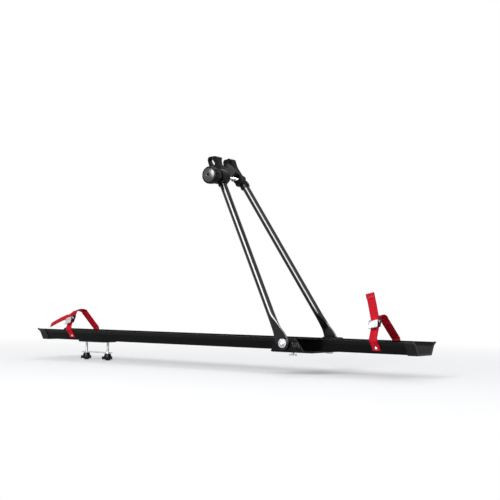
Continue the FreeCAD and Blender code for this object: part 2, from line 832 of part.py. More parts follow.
def make_clamp_plate():
    half_x = clamp_plate_length / 2
    half_y = clamp_plate_width / 2
    plate = box(rear_x - half_x, -half_y, clamp_plate_bottom, rear_x + half_x, half_y, clamp_plate_top)
    plate = round_edges(plate, clamp_plate_width * 0.3, lambda edge: along(edge, Z_AXIS))
    for x in rear_bolt_places():
        hole_radius = (rear_bolt_shank + bolt_hole_clearance) / 2
        plate = plate.cut(Part.makeCylinder(hole_radius, 20, V(x, 0, clamp_plate_bottom - 5)))
    return plate


def make_rear_washers():
    rings = [washer(V(x, 0, clamp_plate_bottom), -Z_AXIS, rear_washer, rear_bolt_shank + bolt_hole_clearance,
                    small_washer_thick) for x in rear_bolt_places()]
    return Part.makeCompound(rings)


def make_rear_knob(x):
    top = rear_knob_top
    wing_top = top - rear_knob_hub_height
    bottom = wing_top - rear_knob_wing_height
    end = top - rear_knob_height
    hub = cone(V(x, 0, top), V(x, 0, wing_top), rear_knob_hub / 2, rear_knob_foot / 2)
    core = rod(V(x, 0, wing_top), V(x, 0, bottom), rear_knob_foot / 2)
    boss = rod(V(x, 0, bottom), V(x, 0, end), rear_knob_boss / 2)
    pieces = [hub, core, boss]
    reach = (rear_knob_span - rear_knob_lobe) / 2
    for index in range(rear_knob_lobes):
        angle = math.radians(90 + 360 * index / rear_knob_lobes)
        spot = V(x + math.cos(angle) * reach, math.sin(angle) * reach, bottom)
        pieces.append(Part.makeCylinder(rear_knob_lobe / 2, rear_knob_wing_height, spot))
        side = V(-math.sin(angle), math.cos(angle), 0) * (rear_knob_lobe / 2 - 0.5)
        middle = V(x, 0, bottom)
        pieces.append(prism([middle - side, spot - side, spot + side, middle + side],
                            Z_AXIS * rear_knob_wing_height))
    body = fuse(pieces)
    body = body.cut(rod(V(x, 0, top + 1), V(x, 0, end - 1), rear_bolt_shank / 2 + 0.5))
    seat = rod(V(x, 0, top), V(x, 0, top - rear_insert_length), rear_insert / 2)
    return body.cut(seat)


def make_rear_insert(x):
    top = rear_knob_top
    body = rod(V(x, 0, top), V(x, 0, top - rear_insert_length), rear_insert / 2)
    bore = rod(V(x, 0, top + 1), V(x, 0, top - rear_insert_length - 1), rear_bolt_shank / 2 + running_clearance)
    return body.cut(bore)


# Wheel straps, drawn upright at X = 0, then leant about the tray's lip and moved into place
class Strap:
    def __init__(self, name, x, lean, buckle_foot, shoulder, loop_top):
        self.name = name
        self.x = x
        self.lean = lean
        self.shoulder = shoulder
        self.loop_top = loop_top
        self.low = V(0, -buckle_foot[0], buckle_foot[1])
        self.direction = (V(0, -shoulder[0], shoulder[1]) - self.low).normalize()
        self.outward = X_AXIS.cross(self.direction)
        self.reach = (V(0, -shoulder[0], shoulder[1]) - self.low).Length

    def spot(self, along_strap, out, x=0):
        """Point in the buckle's own directions."""
        return self.low + self.direction * along_strap + self.outward * out + X_AXIS * x

    def flat_spot(self, along_strap, out):
        point = self.spot(along_strap, out)
        return (point.y, point.z)

    def placed(self, shape, lean):
        moved = shape.copy()
        moved.rotate(V(0, 0, tray_top), Y_AXIS, -lean)
        moved.translate(V(self.x, 0, 0))
        return moved


front_strap = Strap("front", tray_front - front_strap_from_end, front_strap_lean,
                    front_buckle_foot, front_loop_shoulder, front_loop_top)
rear_strap = Strap("rear", tray_rear + rear_strap_from_end, rear_strap_lean,
                   rear_buckle_foot, rear_loop_shoulder, rear_loop_top)


def ribbon(path, thick, width):
    """Strip of constant thickness along a path in Y and Z, with round turns, centred on X = 0."""
    pieces = []
    half = thick / 2
    for first, last in zip(path, path[1:]):
        start = V(-width / 2, first[0], first[1])
        end = V(-width / 2, last[0], last[1])
        run = end - start
        side = X_AXIS.cross(run).normalize() * half
        pieces.append(prism([start - side, end - side, end + side, start + side], X_AXIS * width))
    for y, z in path[1:-1]:
        pieces.append(Part.makeCylinder(half, width, V(-width / 2, y, z), X_AXIS))
    return fuse(pieces)


def wall_path(side):
    """Webbing on the outside of the tray wall, from its riveted end to the lip."""
    off = webbing_gap + webbing_thick / 2
    floor_spot, shoulder_spot, top_spot = tray_outline(off)
    share = strap_anchor_height / tray_shoulder_height
    anchor_y = floor_spot[0] + (shoulder_spot[0] - floor_spot[0]) * share
    anchor_z = floor_spot[1] + (shoulder_spot[1] - floor_spot[1]) * share
    return [(side * anchor_y, anchor_z), (side * shoulder_spot[0], shoulder_spot[1]),
            (side * top_spot[0], tray_top)]


def lip_spot(strap, side):
    """Where the upper piece starts, high enough that its leaning corner clears the lip."""
    y = wall_path(side)[-1][0]
    corner_dip = webbing_width / 2 * math.sin(math.radians(strap.lean))
    return (y, tray_top + corner_dip + webbing_thick + strap_lip_clearance)


def arch_points(strap):
    """Crown of the strap loop, half an ellipse over the wheel rim."""
    points = []
    steps = 10
    shoulder_y, shoulder_z = strap.shoulder
    for step in range(1, steps):
        angle = math.pi * step / steps
        z = shoulder_z + (strap.loop_top - shoulder_z) * math.sin(angle)
        points.append((shoulder_y * math.cos(angle), z))
    return points


def join_strap(strap, side, upper_path):
    """Upright wall piece and leaning upper piece, meeting over the lip of the tray."""
    y, z = lip_spot(strap, side)
    wall = ribbon(wall_path(side) + [(y, z)], webbing_thick, webbing_width)
    wall = strap.placed(wall, 0)
    upper = strap.placed(ribbon([(y, z)] + upper_path, webbing_thick, webbing_width), strap.lean)
    joint = Part.makeCylinder(webbing_thick / 2, webbing_width, V(-webbing_width / 2, y, z), X_AXIS)
    joint = strap.placed(joint, strap.lean / 2)
    hole = strap.placed(strap_rivet_shape(side, strap_rivet_shank / 2, 8 * tray_sheet), 0)
    return fuse([wall, joint, upper]).cut(hole)


def make_loop_strap(strap):
    """Far wall, over the rim, and round the end bar of the buckle back onto itself."""
    wrap = [strap.flat_spot(buckle_length + past, out) for past, out in strap_wrap]
    path = [strap.shoulder] + arch_points(strap) + wrap
    return join_strap(strap, far, path)


def pull_path(strap):
    lift = buckle_sheet + webbing_gap + webbing_thick / 2
    entry = [(-webbing_thick, lift), (strap_exit[0][0] - 3.0, lift)]
    return [strap.flat_spot(past, out) for past, out in entry + strap_exit]


def make_front_pull_strap(strap):
    path = pull_path(strap)
    y, z = path[-1]
    path.append((y, z + front_tail_length))
    return join_strap(strap, near, path)


def make_rear_pull_strap(strap):
    strip = join_strap(strap, near, pull_path(strap) + [strap.flat_spot(rear_exit_end[0], rear_exit_end[1])])
    exit_along, exit_out = strap_exit[-1]
    start = strap.placed(Part.Vertex(strap.spot(exit_along, exit_out)), strap.lean).Point
    start = start + V(rear_tail_shift[0], rear_tail_shift[1], 0)
    path = [(-webbing_width / 4, 0.0), (0.0, 0.0)]
    drop = rear_tail_first_drop
    for index in range(rear_tail_bends):
        heading = math.radians(drop + index * rear_tail_turn)
        y, z = path[-1]
        step = rear_tail_length / rear_tail_bends
        path.append((y + math.cos(heading) * step, z - math.sin(heading) * step))
    tail = ribbon(path, webbing_thick, webbing_width)
    tail.rotate(V(0, 0, 0), Z_AXIS, 90)
    tail.translate(start)
    return fuse([strip, tail])


def strap_rivet_seat(side):
    path = wall_path(side)
    first = V(0, path[0][0], path[0][1])
    second = V(0, path[1][0], path[1][1])
    direction = (second - first).normalize()
    outward = X_AXIS.cross(direction)
    if outward.y * side < 0:
        outward = -outward
    return first + direction * strap_rivet_rise, outward


def strap_rivet_shape(side, radius, reach):
    seat, outward = strap_rivet_seat(side)
    start = seat - outward * (webbing_thick / 2 + webbing_gap + tray_sheet)
    return rod(start, start + outward * reach, radius)


def make_strap_rivet(strap, side):
    seat, outward = strap_rivet_seat(side)
    shank_length = webbing_thick + webbing_gap + tray_sheet
    shank = strap_rivet_shape(side, strap_rivet_shank / 2, shank_length)
    head = dome(seat + outward * (webbing_thick / 2), outward, strap_rivet_head, strap_rivet_height)
    tail_seat = seat - outward * (webbing_thick / 2 + webbing_gap + tray_sheet)
    tail = dome(tail_seat, -outward, strap_rivet_head * 0.8, strap_rivet_height)
    return strap.placed(fuse([shank, head, tail]), 0)


def strap_rivet_holes():
    holes = []
    for strap in (front_strap, rear_strap):
        for side in (near, far):
            hole = strap_rivet_shape(side, strap_rivet_shank / 2, 4 * tray_sheet)
            holes.append(strap.placed(hole, 0))
    return holes


# Cam buckles
def buckle_prism(strap, outline, half_width, width):
    corners = [strap.spot(along_strap, out, half_width) for along_strap, out in outline]
    return prism(corners, X_AXIS * width)


def pin_shape(strap, radius, half_length):
    centre = (buckle_length * 0.5, buckle_depth * 0.68)
    start = strap.spot(centre[0], centre[1], -half_length)
    end = strap.spot(centre[0], centre[1], half_length)
    return rod(start, end, radius)


def make_buckle_frame(strap):
    half = buckle_inner_width / 2 + buckle_sheet
    long = buckle_length
    base = [(0, 0), (long, 0), (long, buckle_sheet), (0, buckle_sheet)]
    ear = [(0, 0), (long, 0), (long, buckle_depth * 0.5), (long * 0.72, buckle_depth),
           (long * 0.3, buckle_depth), (0, buckle_depth * 0.5)]
    pieces = [buckle_prism(strap, base, -half, 2 * half)]
    pieces.append(buckle_prism(strap, ear, -half, buckle_sheet))
    pieces.append(buckle_prism(strap, ear, half - buckle_sheet, buckle_sheet))
    frame = fuse(pieces)
    window = [(long - 5.5, -3), (long - 1.6, -3), (long - 1.6, 3), (long - 5.5, 3)]
    window_half = webbing_width / 2 + 0.3
    frame = frame.cut(buckle_prism(strap, window, -window_half, 2 * window_half))
    frame = frame.cut(pin_shape(strap, buckle_pin / 2 + running_clearance, half + 1))
    return strap.placed(frame, strap.lean)


def make_buckle_pin(strap):
    half = buckle_inner_width / 2 + buckle_sheet
    shank = pin_shape(strap, buckle_pin / 2, half + 0.3)
    centre = (buckle_length * 0.5, buckle_depth * 0.68)
    heads = [dome(strap.spot(centre[0], centre[1], side * half), X_AXIS * side, buckle_pin * 1.7, 1.1)
             for side in (-1, 1)]
    return strap.placed(fuse([shank] + heads), strap.lean)


def make_cam_lever(strap):
    half = buckle_inner_width / 2 - 0.4
    middle = buckle_length * 0.5
    centre_out = buckle_depth * 0.68
    cam = pin_shape(strap, cam_radius, half)
    low_out = centre_out + cam_radius - lever_thick
    tip = middle - lever_length
    plate = [(middle + 2, low_out), (middle - 3, low_out), (tip, low_out - 2.5), (tip - 2.5, low_out - 1.2),
             (tip - 2.0, low_out + 0.6), (tip + 0.5, low_out - 2.5 + lever_thick),
             (middle - 3, low_out + lever_thick), (middle + 2, low_out + lever_thick)]
    lever = fuse([cam, buckle_prism(strap, plate, -half, 2 * half)])
    lever = lever.cut(pin_shape(strap, buckle_pin / 2 + running_clearance, half + 1))
    return strap.placed(lever, strap.lean)


def build_all():
    os.makedirs("parts", exist_ok=True)
    export("tray", make_tray())
    export("end_cap_front", make_end_cap(tray_front, 1))
    export("end_cap_rear", make_end_cap(tray_rear, -1))
    export("base_bracket", make_base_bracket())
    export("base_pad", make_base_pad())
    export("base_rivets", make_base_rivets())
    export("bar_t_bolts", make_t_bolts())
    export("bar_bolt_washers", make_t_washers())
    export("bar_bolt_nuts", make_t_nuts())
    export("pivot_washers", make_pivot_washers())
    export("pivot_spacers", make_pivot_spacers())
    export("pivot_nuts", make_pivot_nuts())
    for name, side in (("near", near), ("far", far)):
        export("pivot_bolt_" + name, make_pivot_bolt(side))
        export("arm_" + name, make_arm(side))
        export("jaw_" + name, in_jaw_frame(make_jaw(side)))
        export("grip_pad_" + name, in_jaw_frame(make_grip_pad(side)))
        export("jaw_rivet_" + name, make_jaw_rivet(side))
    export("clamp_rod", make_clamp_rod())
    export("clamp_rod_nut", make_rod_nut())
    export("thrust_washer", make_thrust_washer())
    export("clamp_knob", make_clamp_knob())
    export("knob_insert", make_knob_insert())
    export("knob_cap", make_knob_cap())
    export("saddle_plate", make_saddle())
    export("rear_bolts", make_rear_bolts())
    export("rear_pad", make_rear_pad())
    export("clamp_plate", make_clamp_plate())
    export("rear_washers", make_rear_washers())
    for name, x in zip(("back", "front"), rear_bolt_places()):
        export("rear_knob_" + name, make_rear_knob(x))
        export("rear_insert_" + name, make_rear_insert(x))
    export("front_strap_pull", make_front_pull_strap(front_strap))
    export("rear_strap_pull", make_rear_pull_strap(rear_strap))
    for strap in (front_strap, rear_strap):
        name = strap.name
        export(name + "_strap_loop", make_loop_strap(strap))
        export(name + "_strap_rivet_near", make_strap_rivet(strap, near))
        export(name + "_strap_rivet_far", make_strap_rivet(strap, far))
        export(name + "_buckle_frame", make_buckle_frame(strap))
        export(name + "_buckle_pin", make_buckle_pin(strap))
        export(name + "_cam_lever", make_cam_lever(strap))


build_all()
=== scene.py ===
"""Upright bike carrier for a roof rack: finishes, webbing, threads and softened edges."""

import json
import math

import bpy
from mathutils import Matrix, Vector

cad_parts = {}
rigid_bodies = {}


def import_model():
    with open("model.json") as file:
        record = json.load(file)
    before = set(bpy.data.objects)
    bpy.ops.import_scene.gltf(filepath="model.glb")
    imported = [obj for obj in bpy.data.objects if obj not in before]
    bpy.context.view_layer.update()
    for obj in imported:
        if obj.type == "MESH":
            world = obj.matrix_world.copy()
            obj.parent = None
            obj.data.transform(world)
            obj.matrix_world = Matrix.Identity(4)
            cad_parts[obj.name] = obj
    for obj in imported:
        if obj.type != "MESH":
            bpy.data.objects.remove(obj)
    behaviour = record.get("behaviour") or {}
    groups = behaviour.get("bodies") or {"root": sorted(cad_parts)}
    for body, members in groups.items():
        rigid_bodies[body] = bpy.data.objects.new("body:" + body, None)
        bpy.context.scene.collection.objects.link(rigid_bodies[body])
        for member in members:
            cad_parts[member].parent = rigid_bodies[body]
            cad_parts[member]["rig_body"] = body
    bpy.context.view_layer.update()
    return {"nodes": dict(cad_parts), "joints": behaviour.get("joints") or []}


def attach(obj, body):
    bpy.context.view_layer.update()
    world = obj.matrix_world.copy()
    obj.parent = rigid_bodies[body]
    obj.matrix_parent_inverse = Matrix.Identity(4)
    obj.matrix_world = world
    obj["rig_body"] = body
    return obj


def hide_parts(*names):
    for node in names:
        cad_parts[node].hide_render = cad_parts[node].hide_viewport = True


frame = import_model()
nodes = frame["nodes"]
joint_places = {joint["name"]: Vector(joint["pos_m"]) for joint in frame["joints"] if "pos_m" in joint}

# Places are in metres; outlines, paths and sections are in millimetres and are scaled by MM
MM = 0.001
MERGE_GAP = 0.000004
FINE_MERGE_GAP = 0.000002
SPIN_MERGE_GAP = 0.00001
EDGE_ANGLE = math.radians(32.0)
FLAT_ANGLE = math.radians(0.6)
SMOOTH_ANGLE = 38.0

# Camera of the photograph's frame
CAMERA_PLACE = (1.5867, -2.4835, 0.1405)
CAMERA_YAW = math.radians(35.93)
CAMERA_PITCH = math.radians(2.54)
CAMERA_ROLL = math.radians(0.805)
CAMERA_SENSOR = 36.0
CAMERA_LENS = 77.17
CAMERA_SHIFT = 0.0043

# Floor, background and lamps
FLOOR_HEIGHT = -0.0568
FLOOR_SIZE = 40.0
FLOOR_COLOUR = (0.93, 0.93, 0.93, 1.0)
AIR_COLOUR = (0.93, 0.95, 1.0, 1.0)
WHITE = (1.0, 1.0, 1.0, 1.0)
LAMP_TARGET = Vector((-0.2, 0.0, 0.2))
STRIP_WAY = Vector((-0.504, 0.0, 0.864))
# name, direction from the target, distance, width, length, watts, and True where only gloss shows it
LAMPS = (("key_lamp", (0.10, -0.995, 0.70), 3.2, 1.4, 1.4, 46.0, False),
         ("fill_lamp", (0.9, -0.35, 0.9), 3.4, 1.6, 1.6, 16.0, False),
         ("back_lamp", (-0.7, 1.0, 1.1), 3.4, 1.2, 1.2, 18.0, False),
         ("arm_strip", (0.154, -0.868, 0.474), 2.8, 1.9, 2.5, 540.0, True))

# Width of the rounded edges of each softened piece, in mm
EDGE_WIDTHS = {"end_cap_front": 1.0, "end_cap_rear": 1.0, "base_bracket": 0.7, "clamp_plate": 0.6,
               "saddle_plate": 0.6, "rear_knob_back": 1.1, "rear_knob_front": 1.1,
               "front_buckle_frame": 0.35, "rear_buckle_frame": 0.35, "front_cam_lever": 0.3,
               "rear_cam_lever": 0.3, "base_pad": 0.6, "rear_pad": 0.8, "jaw_near": 0.9, "jaw_far": 0.9}

# Arms: bolted at the pivot, leaning in above the neck, flattened at the foot
PIVOT = Vector((joint_places["arm_fold"].x, 0.0, joint_places["arm_fold"].z))
HEAD_CENTRE = Vector((joint_places["knob_spin"].x, 0.0, joint_places["knob_spin"].z))
ARM_UP = (HEAD_CENTRE - PIVOT).normalized()
ARM_ACROSS = Vector((ARM_UP.z, 0.0, -ARM_UP.x))
ARM_REACH = (HEAD_CENTRE - PIVOT).length / MM
FOOT_OFFSET = joint_places["arm_fold"].y / MM
HEAD_OFFSET = 51.0
NECK_HEIGHT = 46.0
NECK_EASE = 12.0
EYE_RADIUS = 18.0
EYE_TIP = 1.2
EYE_RINGS = 12
PRESSED_HALF = 2.5
PRESSED_SQUARENESS = 9.0
TUBE_RADIUS = 10.65
TUBE_TOP = 527.0
TUBE_RINGS = 20
ARM_SIDES = 56
PIVOT_HOLE_RADIUS = 0.0045
# height above the pivot, half width, half thickness and squareness of the pressed tube
ARM_SECTIONS = [(0.0, EYE_RADIUS, PRESSED_HALF, PRESSED_SQUARENESS),
                (9.0, EYE_RADIUS, PRESSED_HALF, PRESSED_SQUARENESS), (17.0, 17.9, 2.5, 9.0),
                (24.0, 17.2, 2.5, 8.0), (30.0, 15.9, 2.5, 7.0), (36.0, 14.4, 2.55, 6.0),
                (42.0, 13.3, 2.8, 5.0), (48.0, 12.7, 3.3, 4.2), (54.0, 12.35, 4.1, 3.5),
                (60.0, 12.0, 5.2, 3.0), (66.0, 11.65, 6.6, 2.6), (72.0, 11.3, 8.0, 2.35),
                (78.0, 10.95, 9.3, 2.15), (84.0, 10.7, 10.25, 2.05), (90.0, TUBE_RADIUS, TUBE_RADIUS, 2.0)]

# Knob cap, rod and rear bolts
CAP_SEAT = Vector((0.0, -0.1046, 0.0))
CAP_OUTLINE = [(3.3, -1.2), (3.3, 4.0), (3.5, 4.45), (4.0, 4.7), (6.0, 4.6), (9.0, 4.2), (12.0, 3.5),
               (14.5, 2.7), (16.5, 1.85), (18.2, 0.95), (19.2, 0.35), (19.7, 0.0), (19.8, -0.4),
               (19.8, -1.2), (3.3, -1.2)]
THREAD_RADIUS = 4.0
THREAD_PITCH = 1.25
THREAD_DEPTH = 0.6 * THREAD_PITCH
ROD_START = Vector((0.0, -0.098, 0.0))
ROD_LENGTH = 167.0
REAR_BOLT_PLACES = (-0.853, -0.761)
BOLT_SEAT = 0.0103
BOLT_HEAD = [(0.0, 4.4), (3.0, 4.25), (6.0, 3.4), (8.4, 1.7), (9.4, 0.5), (9.5, 0.0), (0.0, 0.0)]
BOLT_SHANK = [(0.0, 0.0), (3.95, 0.0), (3.95, -19.0), (3.3, -20.0), (0.0, -20.0)]
BOLT_TIP = [(0.0, 0.0), (3.3, 0.0), (3.3, -1.2), (2.6, -2.0), (0.0, -2.0)]
BOLT_THREAD_START = -0.0085
BOLT_THREAD_LENGTH = 46.0
BOLT_TIP_START = -0.0535
NECK_MIDDLE = 0.00885
NECK_SIZE = (0.0078, 0.0078, 0.0030)
NECK_EDGE = 0.4

# Webbing: its section, and how it lies on the tray's wall and lip
HALF_WIDTH = 12.5
HALF_THICKNESS = 0.9
FLAT_ROW = (-11.8, -8.0, -4.0, 0.0, 4.0, 8.0, 11.8)
ROUND_EDGE = ((12.35, 0.55), (HALF_WIDTH, 0.0), (12.35, -0.55))
SECTION = [(across, HALF_THICKNESS) for across in FLAT_ROW] + list(ROUND_EDGE)
SECTION += [(-across, -thick) for across, thick in SECTION]
TRAY_TOP = 38.0
LIP_OUT = 62.2
LIP_INSIDE = 61.0
WALL_PATH = [(43.89, 13.79), (51.37, 27.5), (LIP_OUT, TRAY_TOP)]
LEAN_MARGIN = 1.0
LEAN_RUN = 5.0
BEND_RADIUS = 3.0
BEND_SHARE = 0.48
BEND_STEPS = 6
POINT_SPACING = 1.6
LEAST_GAP = 0.25
CROWN_STEPS = 24

# Path through the buckle: distance past its foot and out from its back
BUCKLE_BAR = 24.0
LOOP_WRAP = ((3.4, 0.8), (0.9, -1.1), (-3.6, -1.1), (-3.6, 2.9), (0.8, 2.9), (6.5, 2.2))
PULL_ENTRY = ((-1.8, 2.8), (14.0, 2.8), (17.0, 5.0), (22.0, 9.5))

# Front tail, which stands up with a sewn fold at its top
TAIL_HEIGHT = 67.6
FOLD_LENGTH = 12.5
STITCH_DROPS = (8.6, 11.0)
STITCH_START = -9.0
STITCH_PITCH = 3.0
STITCHES = 7
STITCH_OUT = 3.05
STITCH_SIZE = (0.0012, 0.00035, 0.00035, 1.0)

# Rear tail, which curls over and hangs
REAR_TAIL = [Vector((-889.0, -46.4, 81.6)), Vector((-899.0, -48.6, 78.6)), Vector((-917.0, -50.2, 72.0)),
             Vector((-940.0, -51.2, 62.6)), Vector((-963.5, -51.8, 52.6))]
REAR_TAIL_STEPS = 12
HANGING_WIDTH = Vector((-0.20, 0.70, 0.68))
NEAR_SIDE = Vector((0.0, -1.0, 0.0))
TURN_SHARE = 0.45
CURL_PEAK = 0.16
CURL_PLACE = 0.17
CURL_SPREAD = 0.13
CURL_END = 0.030


# Working helpers
def clear_selection():
    if bpy.context.object is not None and bpy.context.object.mode != "OBJECT":
        bpy.ops.object.mode_set(mode="OBJECT")
    bpy.ops.object.select_all(action="DESELECT")


def take(piece):
    """Makes one piece the only selected and active one."""
    clear_selection()
    piece.select_set(True)
    bpy.context.view_layer.objects.active = piece
    return piece


def edit_all(piece):
    """Opens a piece for editing with all of it selected."""
    take(piece)
    bpy.ops.object.mode_set(mode="EDIT")
    bpy.ops.mesh.select_all(action="SELECT")


def leave_edit():
    bpy.ops.object.mode_set(mode="OBJECT")


def settle(piece):
    """Moves the piece's place into its mesh, so that its object sits at the origin."""
    take(piece)
    bpy.ops.object.transform_apply(location=True, rotation=True, scale=True)
    return piece


def apply_modifier(piece, modifier):
    take(piece)
    bpy.ops.object.modifier_apply(modifier=modifier.name)


def soften(piece, width):
    """Rounds the sharp edges of a merged mesh; the width is in mm."""
    bevel = piece.modifiers.new("soft_edges", "BEVEL")
    bevel.width = width * MM
    bevel.segments = 2
    bevel.limit_method = "ANGLE"
    bevel.angle_limit = EDGE_ANGLE
    bevel.use_clamp_overlap = True
    apply_modifier(piece, bevel)


def smooth(piece, degrees=SMOOTH_ANGLE):
    take(piece)
    bpy.ops.object.shade_smooth_by_angle(angle=math.radians(degrees), keep_sharp_edges=False)
    return piece


def face_outwards(piece):
    edit_all(piece)
    bpy.ops.mesh.remove_doubles(threshold=FINE_MERGE_GAP)
    bpy.ops.mesh.normals_make_consistent(inside=False)
    leave_edit()


def linked(name, mesh):
    """A new object of a mesh, in the scene."""
    piece = bpy.data.objects.new(name, mesh)
    bpy.context.scene.collection.objects.link(piece)
    return piece


def ringed(name, rings):
    """A closed skin over rings of equally many points, with a flat face at each end."""
    count = len(rings[0])
    last = (len(rings) - 1) * count
    faces = [tuple(range(count - 1, -1, -1)), tuple(range(last, last + count))]
    for start in range(0, last, count):
        for k in range(count):
            after = (k + 1) % count
            faces.append((start + k, start + after, start + count + after, start + count + k))
    mesh = bpy.data.meshes.new(name)
    mesh.from_pydata([point for ring in rings for point in ring], [], faces)
    return linked(name, mesh)


def finish_with(piece, material):
    piece.data.materials.clear()
    piece.data.materials.append(material)


def fit(piece, body, slot, material, *replaced):
    """Gives a finished piece its material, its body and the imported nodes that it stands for."""
    finish_with(piece, material)
    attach(piece, body)
    if replaced:
        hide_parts(*replaced)
    return piece


def stood_at(piece, place, axis):
    """Places a piece that was made along +Z at a point in metres, turned along an axis."""
    turn = Vector(axis).to_track_quat("Z", "Y").to_matrix().to_4x4()
    piece.matrix_world = Matrix.Translation(Vector(place)) @ turn
    return settle(piece)


def merged_copy(node_name, name):
    """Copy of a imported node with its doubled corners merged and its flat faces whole."""
    piece = linked(name, nodes[node_name].data.copy())
    edit_all(piece)
    bpy.ops.mesh.remove_doubles(threshold=MERGE_GAP)
    bpy.ops.mesh.dissolve_limited(angle_limit=FLAT_ANGLE)
    leave_edit()
    take(piece)
    bpy.ops.mesh.customdata_custom_splitnormals_clear()
    return piece


def drawn_profile(name, points):
    """An open line of corners in the XZ plane: one merged corner, extruded along the profile."""
    clear_selection()
    bpy.ops.mesh.primitive_plane_add(size=MM)
    piece = bpy.context.object
    piece.name = name
    bpy.ops.object.mode_set(mode="EDIT")
    bpy.ops.mesh.select_all(action="SELECT")
    bpy.ops.mesh.merge(type="CENTER")
    corners = [Vector((radius * MM, 0.0, height * MM)) for radius, height in points]
    bpy.ops.transform.translate(value=corners[0])
    for here, there in zip(corners, corners[1:]):
        bpy.ops.mesh.extrude_region_move(TRANSFORM_OT_translate={"value": there - here})
    leave_edit()
    return piece


def spun(piece, name, steps):
    """Adds the modifier that both a turned part and a thread are made with."""
    spin = piece.modifiers.new(name, "SCREW")
    spin.steps = steps
    spin.render_steps = steps
    spin.use_merge_vertices = True
    spin.merge_threshold = SPIN_MERGE_GAP
    return spin


def turned(name, points, place, axis, steps=48):
    """A turned part: radius and height pairs in mm, spun about an axis through a place in metres."""
    piece = drawn_profile(name, points)
    turning = spun(piece, "turning", steps)
    turning.use_smooth_shade = False
    apply_modifier(piece, turning)
    face_outwards(piece)
    return smooth(stood_at(piece, place, axis), 34.0)


def threaded(name, length, place, axis, steps):
    """A true screw thread, one tooth swept up a helix, with its two ends closed."""
    root = THREAD_RADIUS - THREAD_DEPTH
    tooth = [(root, 0.0), (root, THREAD_PITCH * 0.12), (THREAD_RADIUS, THREAD_PITCH * 0.44),
             (THREAD_RADIUS, THREAD_PITCH * 0.56), (root, THREAD_PITCH * 0.88), (root, THREAD_PITCH)]
    piece = drawn_profile(name, tooth)
    helix = spun(piece, "helix", steps)
    helix.screw_offset = THREAD_PITCH * MM
    helix.iterations = int(length / THREAD_PITCH) - 1
    apply_modifier(piece, helix)
    edit_all(piece)
    bpy.ops.mesh.remove_doubles(threshold=MERGE_GAP)
    bpy.ops.mesh.fill_holes(sides=0)
    bpy.ops.mesh.select_all(action="SELECT")
    bpy.ops.mesh.normals_make_consistent(inside=False)
    leave_edit()
    return smooth(stood_at(piece, place, axis), 30.0)


def joined(name, *parts):
    """Several finished meshes made one piece."""
    clear_selection()
    for part in parts:
        part.select_set(True)
    bpy.context.view_layer.objects.active = parts[0]
    bpy.ops.object.join()
    parts[0].name = name
    return parts[0]


def ease(share):
    """0 to 1 with a soft start and end."""
    return share * share * (3 - 2 * share)


# Shader helpers
def link(tree, source, target):
    tree.links.new(source, target)


def node(tree, kind, inputs=None, **settings):
    """Adds a shader node; a socket given as an input is linked, anything else is its value."""
    made = tree.nodes.new(kind)
    for key, value in settings.items():
        setattr(made, key, value)
    for key, value in (inputs or {}).items():
        if isinstance(value, bpy.types.NodeSocket):
            tree.links.new(value, made.inputs[key])
        else:
            made.inputs[key].default_value = value
    return made


def sums(tree, operation, first, second=0.5, third=0.5):
    inputs = {0: first, 1: second, 2: third}
    return node(tree, "ShaderNodeMath", inputs, operation=operation).outputs[0]


def blend_colours(tree, factor, first, second):
    return node(tree, "ShaderNodeMix", {0: factor, 6: first, 7: second}, data_type="RGBA").outputs[2]


def scaled(tree, colour, factor):
    """A colour made lighter or darker by a factor."""
    inputs = {0: colour, "Scale": factor}
    return node(tree, "ShaderNodeVectorMath", inputs, operation="SCALE").outputs[0]


def ramp(tree, value, low, high, low_out=0.0, high_out=1.0):
    inputs = {"Value": value, "From Min": low, "From Max": high, "To Min": low_out, "To Max": high_out}
    return node(tree, "ShaderNodeMapRange", inputs).outputs["Result"]


def noise(tree, place, scale, detail, roughness=0.5, distortion=0.0):
    inputs = {"Vector": place, "Scale": scale, "Detail": detail, "Roughness": roughness,
              "Distortion": distortion}
    return node(tree, "ShaderNodeTexNoise", inputs).outputs["Fac"]


# Camera, floor and light
def make_camera():
    look = Vector((-math.sin(CAMERA_YAW) * math.cos(CAMERA_PITCH),
                   math.cos(CAMERA_YAW) * math.cos(CAMERA_PITCH), math.sin(CAMERA_PITCH)))
    side = Vector((math.cos(CAMERA_YAW), math.sin(CAMERA_YAW), 0.0))
    up = side.cross(look)
    right = side * math.cos(CAMERA_ROLL) + up * math.sin(CAMERA_ROLL)
    top = up * math.cos(CAMERA_ROLL) - side * math.sin(CAMERA_ROLL)
    lens = bpy.data.cameras.new("studio_camera")
    lens.sensor_width = CAMERA_SENSOR
    lens.lens = CAMERA_LENS
    lens.shift_y = CAMERA_SHIFT
    camera = linked("studio_camera", lens)
    turn = Matrix((right, top, -look)).transposed().to_4x4()
    camera.matrix_world = Matrix.Translation(CAMERA_PLACE) @ turn
    bpy.context.scene.camera = camera


def seen_by(tree, *rays):
    """1 for the named kinds of ray, which see a plain white."""
    path = node(tree, "ShaderNodeLightPath")
    seen = path.outputs[rays[0]]
    for ray in rays[1:]:
        seen = sums(tree, "MAXIMUM", seen, path.outputs[ray])
    return seen


def make_air():
    """World that lights evenly and shows as white."""
    world = bpy.data.worlds.new("studio_air")
    bpy.context.scene.world = world
    world.use_nodes = True
    tree = world.node_tree
    tree.nodes.clear()
    seen = seen_by(tree, "Is Camera Ray", "Is Glossy Ray", "Is Transmission Ray")
    plain = node(tree, "ShaderNodeBackground", {"Color": AIR_COLOUR, "Strength": 0.5})
    white = node(tree, "ShaderNodeBackground", {"Color": WHITE, "Strength": 1.0})
    mixed = node(tree, "ShaderNodeMixShader", {0: seen, 1: plain.outputs[0], 2: white.outputs[0]})
    out = node(tree, "ShaderNodeOutputWorld")
    link(tree, mixed.outputs[0], out.inputs["Surface"])


